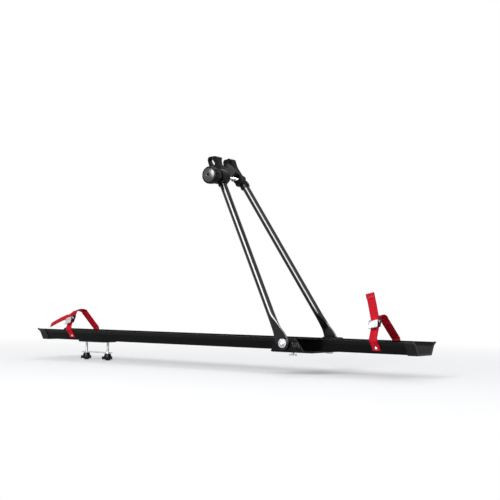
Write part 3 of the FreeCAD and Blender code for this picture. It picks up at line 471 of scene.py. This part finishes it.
def make_floor():
    """Pale floor that keeps the carrier's shadow and fades to white around it."""
    paint = bpy.data.materials.new("pale_floor")
    paint.use_nodes = True
    tree = paint.node_tree
    shader = tree.nodes["Principled BSDF"]
    shader.inputs["Base Color"].default_value = FLOOR_COLOUR
    shader.inputs["Roughness"].default_value = 0.9
    shader.inputs["Specular IOR Level"].default_value = 0.1
    place = node(tree, "ShaderNodeTexCoord")
    spread = node(tree, "ShaderNodeMapping", {"Vector": place.outputs["Object"],
                                              "Location": (0.33, 0.0, 0.0)})
    away = node(tree, "ShaderNodeVectorMath", {0: spread.outputs[0]}, operation="LENGTH")
    fade = ramp(tree, away.outputs["Value"], 0.5, 2.2, 0.3, 1.0)
    fade = sums(tree, "MULTIPLY", fade, seen_by(tree, "Is Camera Ray", "Is Glossy Ray"))
    glow = node(tree, "ShaderNodeEmission", {"Color": WHITE, "Strength": 1.0})
    mixed = node(tree, "ShaderNodeMixShader", {0: fade, 1: shader.outputs[0], 2: glow.outputs[0]})
    link(tree, mixed.outputs[0], tree.nodes["Material Output"].inputs["Surface"])
    clear_selection()
    bpy.ops.mesh.primitive_plane_add(size=FLOOR_SIZE, location=(0.0, 0.0, FLOOR_HEIGHT))
    floor = bpy.context.object
    floor.name = "studio_floor"
    settle(floor)
    finish_with(floor, paint)


def make_lamps():
    for name, direction, distance, size, length, power, only_gloss in LAMPS:
        way = Vector(direction).normalized()
        shape = bpy.data.lights.new(name, "AREA")
        shape.shape = "RECTANGLE"
        shape.size = size
        shape.size_y = length
        shape.energy = power
        lamp = linked(name, shape)
        upward = (STRIP_WAY - way * STRIP_WAY.dot(way)).normalized()
        turn = Matrix((upward.cross(way), upward, way)).transposed().to_4x4()
        lamp.matrix_world = Matrix.Translation(LAMP_TARGET + way * distance) @ turn
        lamp.visible_diffuse = not only_gloss


# Shared finish effects
VECTOR = "NodeSocketVector"
COLOUR = "NodeSocketColor"
NUMBER = "NodeSocketFloat"
SKIN_OUTPUTS = (("Colour", COLOUR), ("Roughness", NUMBER), ("Height", NUMBER))
DUST_COLOUR = (0.34, 0.33, 0.31, 1.0)
BLOOM_COLOUR = (0.30, 0.30, 0.30, 1.0)


def new_group(name, inputs):
    tree = bpy.data.node_groups.new(name, "ShaderNodeTree")
    for label, kind, value in inputs:
        socket = tree.interface.new_socket(label, in_out="INPUT", socket_type=kind)
        if value is not None:
            socket.default_value = value
    for label, kind in SKIN_OUTPUTS:
        tree.interface.new_socket(label, in_out="OUTPUT", socket_type=kind)
    return tree, tree.nodes.new("NodeGroupInput").outputs


def give_out(tree, colour, roughness, height):
    node(tree, "NodeGroupOutput", {"Colour": colour, "Roughness": roughness, "Height": height})
    return tree


def make_paint_skin():
    """Powder coat: fine orange peel, patches of gloss and a trace of dust on upward faces."""
    tree, given = new_group("Paint Skin", (("Place", VECTOR, None), ("Colour", COLOUR, None),
                                           ("Gloss Loss", NUMBER, 0.2), ("Peel Size", NUMBER, 500.0),
                                           ("Dust", NUMBER, 0.1)))
    peel = noise(tree, given["Place"], given["Peel Size"], 2.0)
    patches = noise(tree, given["Place"], 11.0, 4.0, 0.6)
    specks = noise(tree, given["Place"], 1400.0, 1.0)
    facing = node(tree, "ShaderNodeNewGeometry")
    parts = node(tree, "ShaderNodeSeparateXYZ", {0: facing.outputs["Normal"]})
    upward = ramp(tree, parts.outputs["Z"], 0.55, 1.0)
    dust = sums(tree, "MULTIPLY", upward, ramp(tree, patches, 0.42, 0.72))
    dust = sums(tree, "MULTIPLY", dust, ramp(tree, specks, 0.45, 0.62, 0.35, 1.0))
    dust = sums(tree, "MULTIPLY", dust, given["Dust"])
    tinted = scaled(tree, given["Colour"], ramp(tree, patches, 0.3, 0.7, 0.82, 1.2))
    dull = sums(tree, "ADD", ramp(tree, patches, 0.3, 0.75, -0.05, 0.07), given["Gloss Loss"])
    dull = sums(tree, "MULTIPLY_ADD", dust, 0.6, dull)
    return give_out(tree, blend_colours(tree, dust, tinted, DUST_COLOUR), dull, peel)


def make_moulded_grain():
    """Moulded plastic or rubber: spark-eroded grain, cloudy tone and a pale bloom."""
    tree, given = new_group("Moulded Grain", (("Place", VECTOR, None), ("Colour", COLOUR, None),
                                              ("Gloss Loss", NUMBER, 0.4), ("Grain Size", NUMBER, 1100.0),
                                              ("Bloom", NUMBER, 0.1)))
    pits = node(tree, "ShaderNodeTexVoronoi", {"Vector": given["Place"], "Scale": given["Grain Size"]})
    clouds = noise(tree, given["Place"], 42.0, 5.0, 0.62, 0.4)
    fine = noise(tree, given["Place"], 900.0, 2.0)
    height = sums(tree, "MULTIPLY_ADD", pits.outputs["Distance"], 0.7, fine)
    bloom = sums(tree, "MULTIPLY", ramp(tree, clouds, 0.44, 0.74), given["Bloom"])
    tinted = scaled(tree, given["Colour"], ramp(tree, clouds, 0.3, 0.7, 0.86, 1.16))
    dull = sums(tree, "MULTIPLY_ADD", clouds, 0.16, given["Gloss Loss"])
    return give_out(tree, blend_colours(tree, bloom, tinted, BLOOM_COLOUR), dull, height)


def make_plated_skin():
    """Zinc plate or pressed steel: soft spangle, fine lines along one direction and dull spots."""
    tree, given = new_group("Plated Skin", (("Place", VECTOR, None), ("Colour", COLOUR, None),
                                            ("Gloss Loss", NUMBER, 0.25),
                                            ("Line Stretch", VECTOR, (1.0, 1.0, 1.0)),
                                            ("Line Depth", NUMBER, 0.5)))
    spangle = node(tree, "ShaderNodeTexVoronoi", {"Vector": given["Place"], "Scale": 420.0})
    tone = node(tree, "ShaderNodeSeparateXYZ", {0: spangle.outputs["Color"]})
    stretched = node(tree, "ShaderNodeVectorMath", {0: given["Place"], 1: given["Line Stretch"]},
                     operation="MULTIPLY")
    lines = noise(tree, stretched.outputs[0], 700.0, 3.0, 0.6)
    spots = noise(tree, given["Place"], 160.0, 3.0)
    shade = sums(tree, "MULTIPLY", ramp(tree, tone.outputs["X"], 0.0, 1.0, 0.88, 1.06),
                 ramp(tree, spots, 0.35, 0.65, 0.86, 1.06))
    dull = sums(tree, "ADD", ramp(tree, spots, 0.35, 0.7, -0.06, 0.12), given["Gloss Loss"])
    height = sums(tree, "MULTIPLY", lines, given["Line Depth"])
    return give_out(tree, scaled(tree, given["Colour"], shade), dull, height)


def make_weave():
    """Webbing: chevron yarns across and along the strap, painted shade on its two edges and in the weave's
    grooves, and loose fibre.
    """
    tree, given = new_group("Webbing Weave", (("Flat", VECTOR, None), ("Colour", COLOUR, None),
                                              ("Shade", COLOUR, None), ("Gloss Loss", NUMBER, 0.6)))
    flat = node(tree, "ShaderNodeSeparateXYZ", {0: given["Flat"]})
    across = flat.outputs["X"]
    zigzag = sums(tree, "MULTIPLY", sums(tree, "PINGPONG", across, 0.0031), 4300.0)
    phase = sums(tree, "ADD", sums(tree, "MULTIPLY", flat.outputs["Y"], 5200.0), zigzag)
    ribs = ramp(tree, sums(tree, "SINE", phase), -1.0, 1.0)
    yarns = ramp(tree, sums(tree, "SINE", sums(tree, "MULTIPLY", across, 6900.0)), -1.0, 1.0)
    height = sums(tree, "MULTIPLY_ADD", yarns, 0.35, ribs)
    # Painted shade: both edges of the strap are darkened, as where they curve away from the light
    from_middle = sums(tree, "ABSOLUTE", sums(tree, "SUBTRACT", across, HALF_WIDTH * MM))
    painted_edge_shade = ramp(tree, from_middle, 0.0098, 0.0114)
    fibre = noise(tree, given["Flat"], 2600.0, 2.0)
    worn = noise(tree, given["Flat"], 60.0, 4.0)
    # Painted shade: the weave's low parts are darker, with a random worn tone on top
    depth = sums(tree, "MULTIPLY", ramp(tree, height, 0.0, 1.3, 0.80, 1.06),
                 ramp(tree, worn, 0.3, 0.7, 0.9, 1.08))
    colour = blend_colours(tree, painted_edge_shade, scaled(tree, given["Colour"], depth),
                           scaled(tree, given["Shade"], depth))
    dull = sums(tree, "MULTIPLY_ADD", fibre, 0.2, given["Gloss Loss"])
    return give_out(tree, colour, dull, sums(tree, "MULTIPLY_ADD", fibre, 0.3, height))


paint_skin = make_paint_skin()
moulded_grain = make_moulded_grain()
plated_skin = make_plated_skin()
webbing_weave = make_weave()


# Finishes
def dressed_material(name, effect, place, values, relief, plain):
    """A material whose colour, roughness and relief come from one shared effect."""
    made = bpy.data.materials.new(name)
    made.use_nodes = True
    tree = made.node_tree
    shader = tree.nodes["Principled BSDF"]
    where = node(tree, "ShaderNodeTexCoord")
    skin = tree.nodes.new("ShaderNodeGroup")
    skin.node_tree = effect
    link(tree, where.outputs[place], skin.inputs[0])
    for key, value in values.items():
        skin.inputs[key].default_value = value
    strength, distance = relief
    bump = node(tree, "ShaderNodeBump", {"Height": skin.outputs["Height"], "Strength": strength,
                                         "Distance": distance})
    link(tree, skin.outputs["Colour"], shader.inputs["Base Color"])
    link(tree, skin.outputs["Roughness"], shader.inputs["Roughness"])
    link(tree, bump.outputs["Normal"], shader.inputs["Normal"])
    for key, value in plain.items():
        shader.inputs[key].default_value = value
    return made


def paint(name, colour, gloss_loss, level, peel=420.0, dust=0.05, bump=0.12):
    values = {"Colour": colour, "Gloss Loss": gloss_loss, "Peel Size": peel, "Dust": dust}
    return dressed_material(name, paint_skin, "Object", values, (bump, 0.00012),
                            {"Specular IOR Level": level})


def moulded(name, colour, gloss_loss, level, grain=1100.0, bloom=0.05, bump=0.25):
    values = {"Colour": colour, "Gloss Loss": gloss_loss, "Grain Size": grain, "Bloom": bloom}
    return dressed_material(name, moulded_grain, "Object", values, (bump, 0.00012),
                            {"Specular IOR Level": level})


def plated(name, colour, gloss_loss, stretch, lines, bump=0.1):
    values = {"Colour": colour, "Gloss Loss": gloss_loss, "Line Stretch": stretch, "Line Depth": lines}
    return dressed_material(name, plated_skin, "Object", values, (bump, 0.00008), {"Metallic": 1.0})


def woven(name, colour, shade):
    values = {"Colour": colour, "Shade": shade, "Gloss Loss": 0.6}
    plain = {"Sheen Weight": 0.03, "Sheen Roughness": 0.4, "Specular IOR Level": 0.025}
    return dressed_material(name, webbing_weave, "UV", values, (0.35, 0.00025), plain)


tray_black = paint("tray_black", (0.0025, 0.0025, 0.003, 1.0), 0.30, 0.07, dust=0.012)
arm_black = paint("arm_black", (0.003, 0.003, 0.0035, 1.0), 0.13, 0.30, peel=200.0, dust=0.0, bump=0.0)
bracket_black = paint("bracket_black", (0.004, 0.004, 0.0045, 1.0), 0.24, 0.10, dust=0.02)
jaw_black = moulded("jaw_black", (0.0025, 0.0025, 0.003, 1.0), 0.30, 0.07, bloom=0.008, bump=0.08)
cap_black = moulded("cap_black", (0.004, 0.004, 0.005, 1.0), 0.22, 0.14, bloom=0.02, bump=0.10)
knob_grey = moulded("knob_grey", (0.036, 0.041, 0.042, 1.0), 0.22, 0.30, bloom=0.02, bump=0.05)
pad_rubber = moulded("pad_rubber", (0.022, 0.022, 0.022, 1.0), 0.70, 0.2, grain=700.0, bloom=0.12, bump=0.4)
zinc_plate = plated("zinc_plate", (0.50, 0.51, 0.53, 1.0), 0.30, (1.0, 1.0, 1.0), 0.35)
pressed_steel = plated("pressed_steel", (0.46, 0.46, 0.47, 1.0), 0.36, (0.04, 1.0, 1.0), 0.4, bump=0.06)
# The second colour is the painted shade along the webbing's edges
red_webbing = woven("red_webbing", (0.64, 0.008, 0.024, 1.0), (0.34, 0.003, 0.010, 1.0))
stitch_thread = moulded("stitch_thread", (0.62, 0.10, 0.12, 1.0), 0.5, 0.3, grain=3000.0, bloom=0.1)

finish_of = {"tray_steel": tray_black, "bracket_steel": bracket_black, "arm_steel": arm_black,
             "jaw_plastic": jaw_black, "cap_plastic": cap_black, "knob_grey": knob_grey, "rubber": pad_rubber,
             "zinc": zinc_plate, "lever_metal": pressed_steel, "red_webbing": red_webbing}
slots = {name: piece.data.materials[0].name.split(".")[0] for name, piece in nodes.items()}
bodies = {name: piece["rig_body"] for name, piece in nodes.items()}


def finish_nodes():
    for name, piece in nodes.items():
        for slot in piece.material_slots:
            slot.material = finish_of[slots[name]]


# Pieces with softened edges
def make_softened(node_name, width):
    piece = merged_copy(node_name, node_name + "_soft")
    soften(piece, width)
    smooth(piece)
    even = piece.modifiers.new("even_shading", "WEIGHTED_NORMAL")
    even.keep_sharp = True
    even.weight = 60
    apply_modifier(piece, even)
    fit(piece, bodies[node_name], slots[node_name], finish_of[slots[node_name]], node_name)


# Arms
def arm_centre(height):
    """Distance from the middle of the carrier at a height of the arm, eased into the lean at the neck."""
    slope = (FOOT_OFFSET - HEAD_OFFSET) / (ARM_REACH - NECK_HEIGHT)
    past = (height - (NECK_HEIGHT - NECK_EASE)) / (2 * NECK_EASE)
    if past <= 0:
        return FOOT_OFFSET
    if past >= 1:
        return FOOT_OFFSET - (height - NECK_HEIGHT) * slope
    return FOOT_OFFSET - slope * NECK_EASE * past * past


def arm_sections():
    """Sections from the round eye to the collar, as rows like those of ARM_SECTIONS."""
    sections = []
    for step in range(1, EYE_RINGS):
        angle = math.pi / 2 * step / EYE_RINGS
        half_width = max(EYE_RADIUS * math.sin(angle), EYE_TIP)
        sections.append((-EYE_RADIUS * math.cos(angle), half_width, PRESSED_HALF, PRESSED_SQUARENESS))
    sections += ARM_SECTIONS
    start = ARM_SECTIONS[-1][0]
    for step in range(1, TUBE_RINGS + 1):
        sections.append((start + (TUBE_TOP - start) * step / TUBE_RINGS, TUBE_RADIUS, TUBE_RADIUS, 2.0))
    return sections


def arm_ring(side, height, wide, thick, square):
    """Points around one section, between an ellipse and a rectangle as it is more square."""
    centre = PIVOT + ARM_UP * (height * MM) + Vector((0.0, side * arm_centre(height) * MM, 0.0))
    ring = []
    for k in range(ARM_SIDES):
        turn = 2 * math.pi * k / ARM_SIDES
        c = math.cos(turn)
        s = math.sin(turn)
        x = wide * math.copysign(abs(c) ** (2 / square), c)
        y = thick * math.copysign(abs(s) ** (2 / square), s)
        ring.append(centre + ARM_ACROSS * (x * MM) + Vector((0.0, y * MM, 0.0)))
    return ring


def drill_pivot(piece, side):
    clear_selection()
    bpy.ops.mesh.primitive_cylinder_add(vertices=40, radius=PIVOT_HOLE_RADIUS, depth=0.03,
                                        location=PIVOT + Vector((0.0, side * FOOT_OFFSET * MM, 0.0)),
                                        rotation=(math.pi / 2, 0.0, 0.0))
    drill = bpy.context.object
    hole = piece.modifiers.new("pivot_hole", "BOOLEAN")
    hole.object = drill
    hole.operation = "DIFFERENCE"
    hole.solver = "EXACT"
    apply_modifier(piece, hole)
    bpy.data.objects.remove(drill)


def make_arm(side, name, node_name, body):
    """Tube pressed flat at its foot, with a round eye that the pivot bolt passes through."""
    piece = ringed(name, [arm_ring(side, *section) for section in arm_sections()])
    face_outwards(piece)
    drill_pivot(piece, side)
    fit(smooth(piece, 42.0), body, "arm_steel", arm_black, node_name)


# Clamp knob cap and threads
def make_knob_cap():
    """Domed grey ring in the knob's dish, open at its centre."""
    piece = turned("knob_cap_domed", CAP_OUTLINE, HEAD_CENTRE + CAP_SEAT, (0.0, -1.0, 0.0), steps=72)
    fit(piece, "knob", "knob_grey", knob_grey, "knob_cap")


def make_bolt(x):
    """Carriage bolt: domed head, square neck, plain shank and rolled thread."""
    up = (0.0, 0.0, 1.0)
    head = turned("bolt_head", BOLT_HEAD, (x, 0.0, BOLT_SEAT), up)
    shank = turned("bolt_shank", BOLT_SHANK, (x, 0.0, BOLT_SEAT), up)
    thread = threaded("bolt_thread", BOLT_THREAD_LENGTH, (x, 0.0, BOLT_THREAD_START), (0.0, 0.0, -1.0), 20)
    tip = turned("bolt_tip", BOLT_TIP, (x, 0.0, BOLT_TIP_START), up)
    clear_selection()
    bpy.ops.mesh.primitive_cube_add(size=1.0, location=(x, 0.0, NECK_MIDDLE), scale=NECK_SIZE)
    neck = settle(bpy.context.object)
    soften(neck, NECK_EDGE)
    return [head, shank, thread, tip, smooth(neck)]


def make_rear_bolts():
    parts = [part for x in REAR_BOLT_PLACES for part in make_bolt(x)]
    fit(joined("rear_carriage_bolts", *parts), "rear_clamp", "zinc", zinc_plate, "rear_bolts")


def make_clamp_rod():
    """Threaded rod across the two jaws."""
    rod = threaded("clamp_rod_threaded", ROD_LENGTH, HEAD_CENTRE + ROD_START, (0.0, 1.0, 0.0), 16)
    fit(rod, "far_arm", "zinc", zinc_plate, "clamp_rod")


# Wheel straps
class Strap:
    """The path of one wheel strap: upright on the tray's wall, leaning above the tray's lip."""

    def __init__(self, x, lean, lip, foot, shoulder, crown):
        self.x = x
        self.lean = math.radians(lean)
        self.lip = lip
        self.shoulder = shoulder
        self.crown = crown
        self.low = Vector((-foot[0], foot[1]))
        self.rise = (Vector((-shoulder[0], shoulder[1])) - self.low).normalized()
        self.out = Vector((-self.rise.y, self.rise.x))
        self.across = Vector((math.cos(self.lean), 0.0, math.sin(self.lean)))

    def spot(self, along, out):
        place = self.low + self.rise * along + self.out * out
        return (place.x, place.y)

    def placed(self, x, y, z, share):
        """Point of the leaning strap: x across its width, y and z along its path, in mm."""
        angle = self.lean * share
        lift = z - TRAY_TOP
        return Vector((self.x + x * math.cos(angle) - lift * math.sin(angle), y,
                       TRAY_TOP + x * math.sin(angle) + lift * math.cos(angle))) * MM


front_strap = Strap(x=226.5, lean=13.0, lip=43.11, foot=(36.0, 73.0), shoulder=(19.0, 95.0), crown=105.0)
rear_strap = Strap(x=-873.0, lean=15.0, lip=43.54, foot=(49.0, 58.0), shoulder=(22.3, 95.3), crown=102.0)


def eased(points):
    """The path with each corner eased into a soft bend, as evenly spaced points."""
    line = [Vector(points[0])]
    for before, corner, after in zip(points, points[1:], points[2:]):
        corner = Vector(corner)
        back = Vector(before) - corner
        ahead = Vector(after) - corner
        reach = min(BEND_RADIUS, back.length * BEND_SHARE, ahead.length * BEND_SHARE)
        start = corner + back.normalized() * reach
        end = corner + ahead.normalized() * reach
        for index in range(BEND_STEPS + 1):
            t = index / BEND_STEPS
            line.append(start * (1 - t) ** 2 + corner * (2 * t * (1 - t)) + end * t ** 2)
    line.append(Vector(points[-1]))
    spaced = [line[0]]
    for point in line[1:]:
        first = spaced[-1]
        gap = (point - first).length
        if gap < LEAST_GAP:
            continue
        count = max(1, int(round(gap / POINT_SPACING)))
        spaced += [first.lerp(point, (index + 1) / count) for index in range(count)]
    return spaced


def lean_share(strap, y, z):
    """0 on the tray's wall and 1 from just above its lip."""
    if abs(y) < LIP_INSIDE and z < TRAY_TOP + LEAN_MARGIN:
        return 0.0
    share = (z - (TRAY_TOP - LEAN_MARGIN)) / (strap.lip + LEAN_RUN - TRAY_TOP)
    return ease(min(max(share, 0.0), 1.0))


def webbing_mesh(name, rows, lengths):
    """Closed strip from rows of section points, with a map in metres across and along the strap."""
    piece = ringed(name, rows)
    flat = piece.data.uv_layers.new(name="UVMap")
    for loop in piece.data.loops:
        row, k = divmod(loop.vertex_index, len(SECTION))
        flat.data[loop.index].uv = ((SECTION[k][0] + HALF_WIDTH) * MM, lengths[row] * MM)
    edit_all(piece)
    bpy.ops.mesh.normals_make_consistent(inside=False)
    leave_edit()
    return smooth(piece, 50.0)


def strip_rows(strap, path, side):
    """Rows of section points along a path in Y and Z, and the length of the path up to each."""
    rows = []
    lengths = [0.0]
    for index, point in enumerate(path):
        before = path[max(index - 1, 0)]
        after = path[min(index + 1, len(path) - 1)]
        run = (after - before).normalized()
        normal = Vector((-run.y, run.x)) * (-side)
        share = lean_share(strap, point.x, point.y)
        row = []
        for across, thick in SECTION:
            place = point + normal * thick
            row.append(strap.placed(across, place.x, place.y, share))
        rows.append(row)
        if index:
            lengths.append(lengths[-1] + (point - before).length)
    return rows, lengths


def wall(side):
    return [(side * y, z) for y, z in WALL_PATH]


def loop_path(strap):
    """Up the far wall, over the crown and round the buckle's upper bar."""
    crown = []
    for step in range(1, CROWN_STEPS):
        angle = math.pi * step / CROWN_STEPS
        crown.append((strap.shoulder[0] * math.cos(angle),
                      strap.shoulder[1] + (strap.crown - strap.shoulder[1]) * math.sin(angle)))
    wrap = [strap.spot(BUCKLE_BAR + past, out) for past, out in LOOP_WRAP]
    return eased(wall(1) + [(LIP_OUT, strap.lip), strap.shoulder] + crown + wrap)


def pull_points(strap):
    """Up the near wall and in through the buckle."""
    return wall(-1) + [(-LIP_OUT, strap.lip)] + [strap.spot(past, out) for past, out in PULL_ENTRY]


def make_loop(strap, end):
    """Far length of a strap, from the tray's far wall to the buckle."""
    rows, lengths = strip_rows(strap, loop_path(strap), 1)
    piece = webbing_mesh(end + "_loop_webbing", rows, lengths)
    fit(piece, "base", "red_webbing", red_webbing, end + "_strap_loop")


def make_front_pull():
    """Near strap through the buckle and straight up, its end folded back and sewn down."""
    points = pull_points(front_strap)
    y, z = points[-1]
    top = z + TAIL_HEIGHT
    points += [(y, z + 8.0), (y + 0.6, z + 34.0), (y - 0.2, top), (y - 1.0, top + 1.1), (y - 2.0, top),
               (y - 2.1, top - FOLD_LENGTH)]
    rows, lengths = strip_rows(front_strap, eased(points), -1)
    piece = webbing_mesh("front_pull_webbing", rows, lengths)
    fit(piece, "base", "red_webbing", red_webbing, "front_strap_pull")
    make_tail_stitches()


def smooth_line(points, count):
    """Evenly spread points of a curve through the given ones."""
    line = []
    ends = [points[0] * 2 - points[1]] + points + [points[-1] * 2 - points[-2]]
    for before, first, second, after in zip(ends, ends[1:], ends[2:], ends[3:]):
        for k in range(count):
            t = k / count
            place = first * (2 - 5 * t ** 2 + 3 * t ** 3) + second * (t + 4 * t ** 2 - 3 * t ** 3)
            place += before * (2 * t ** 2 - t - t ** 3) + after * (t ** 3 - t ** 2)
            line.append(place * 0.5)
    line.append(points[-1])
    return line


def curled_row(strap, place, run, past):
    """Section points of the hanging tail, turned on its side and curled, past a share of its length."""
    wide = strap.across.lerp(HANGING_WIDTH, ease(min(past / TURN_SHARE, 1.0)))
    wide = (wide - run * wide.dot(run)).normalized()
    normal = wide.cross(run).normalized()
    if normal.dot(NEAR_SIDE) < 0:
        normal = -normal
    curl = CURL_PEAK * math.exp(-((past - CURL_PLACE) / CURL_SPREAD) ** 2) + CURL_END * min(past * 4, 1.0)
    row = []
    for across, thick in SECTION:
        angle = across * curl
        bent = place + wide * (math.sin(angle) / curl) - normal * ((1 - math.cos(angle)) / curl)
        row.append((bent + (normal * math.cos(angle) + wide * math.sin(angle)) * thick) * MM)
    return row


def make_rear_pull():
    """Near strap through the buckle; its end curls over and hangs towards the tray's end."""
    path = eased(pull_points(rear_strap))
    rows, lengths = strip_rows(rear_strap, path, -1)
    start = rear_strap.placed(0.0, path[-1].x, path[-1].y, 1.0) / MM
    line = smooth_line([start] + REAR_TAIL, REAR_TAIL_STEPS)
    for index in range(1, len(line)):
        run = (line[min(index + 1, len(line) - 1)] - line[index - 1]).normalized()
        rows.append(curled_row(rear_strap, line[index], run, index / (len(line) - 1)))
        lengths.append(lengths[-1] + (line[index] - line[index - 1]).length)
    piece = webbing_mesh("rear_pull_webbing", rows, lengths)
    fit(piece, "base", "red_webbing", red_webbing, "rear_strap_pull")


def make_tail_stitches():
    """Two rows of short stitches across the fold of the front tail."""
    top_y, top_z = pull_points(front_strap)[-1]
    along = Vector((0.0, 1.0, 0.0))
    lie = Matrix((front_strap.across, along, front_strap.across.cross(along))).transposed().to_4x4()
    parts = []
    for drop in STITCH_DROPS:
        for index in range(STITCHES):
            clear_selection()
            bpy.ops.mesh.primitive_uv_sphere_add(segments=6, ring_count=4, radius=1.0)
            stitch = bpy.context.object
            spot = front_strap.placed(STITCH_START + STITCH_PITCH * index, top_y - STITCH_OUT,
                                      top_z + TAIL_HEIGHT - drop, 1.0)
            stitch.data.transform(Matrix.Translation(spot) @ lie @ Matrix.Diagonal(STITCH_SIZE))
            parts.append(stitch)
    sewn = joined("front_tail_stitching", *parts)
    return fit(smooth(sewn, 60.0), "base", "red_webbing", stitch_thread)


# The whole object and its surroundings
finish_nodes()
for node_name, width in EDGE_WIDTHS.items():
    make_softened(node_name, width)
make_arm(-1, "arm_near_tube", "arm_near", "near_arm")
make_arm(1, "arm_far_tube", "arm_far", "far_arm")
make_knob_cap()
make_rear_bolts()
make_clamp_rod()
make_loop(front_strap, "front")
make_loop(rear_strap, "rear")
make_front_pull()
make_rear_pull()

bpy.context.scene.view_settings.view_transform = "Standard"
make_air()
make_floor()
make_lamps()
make_camera()
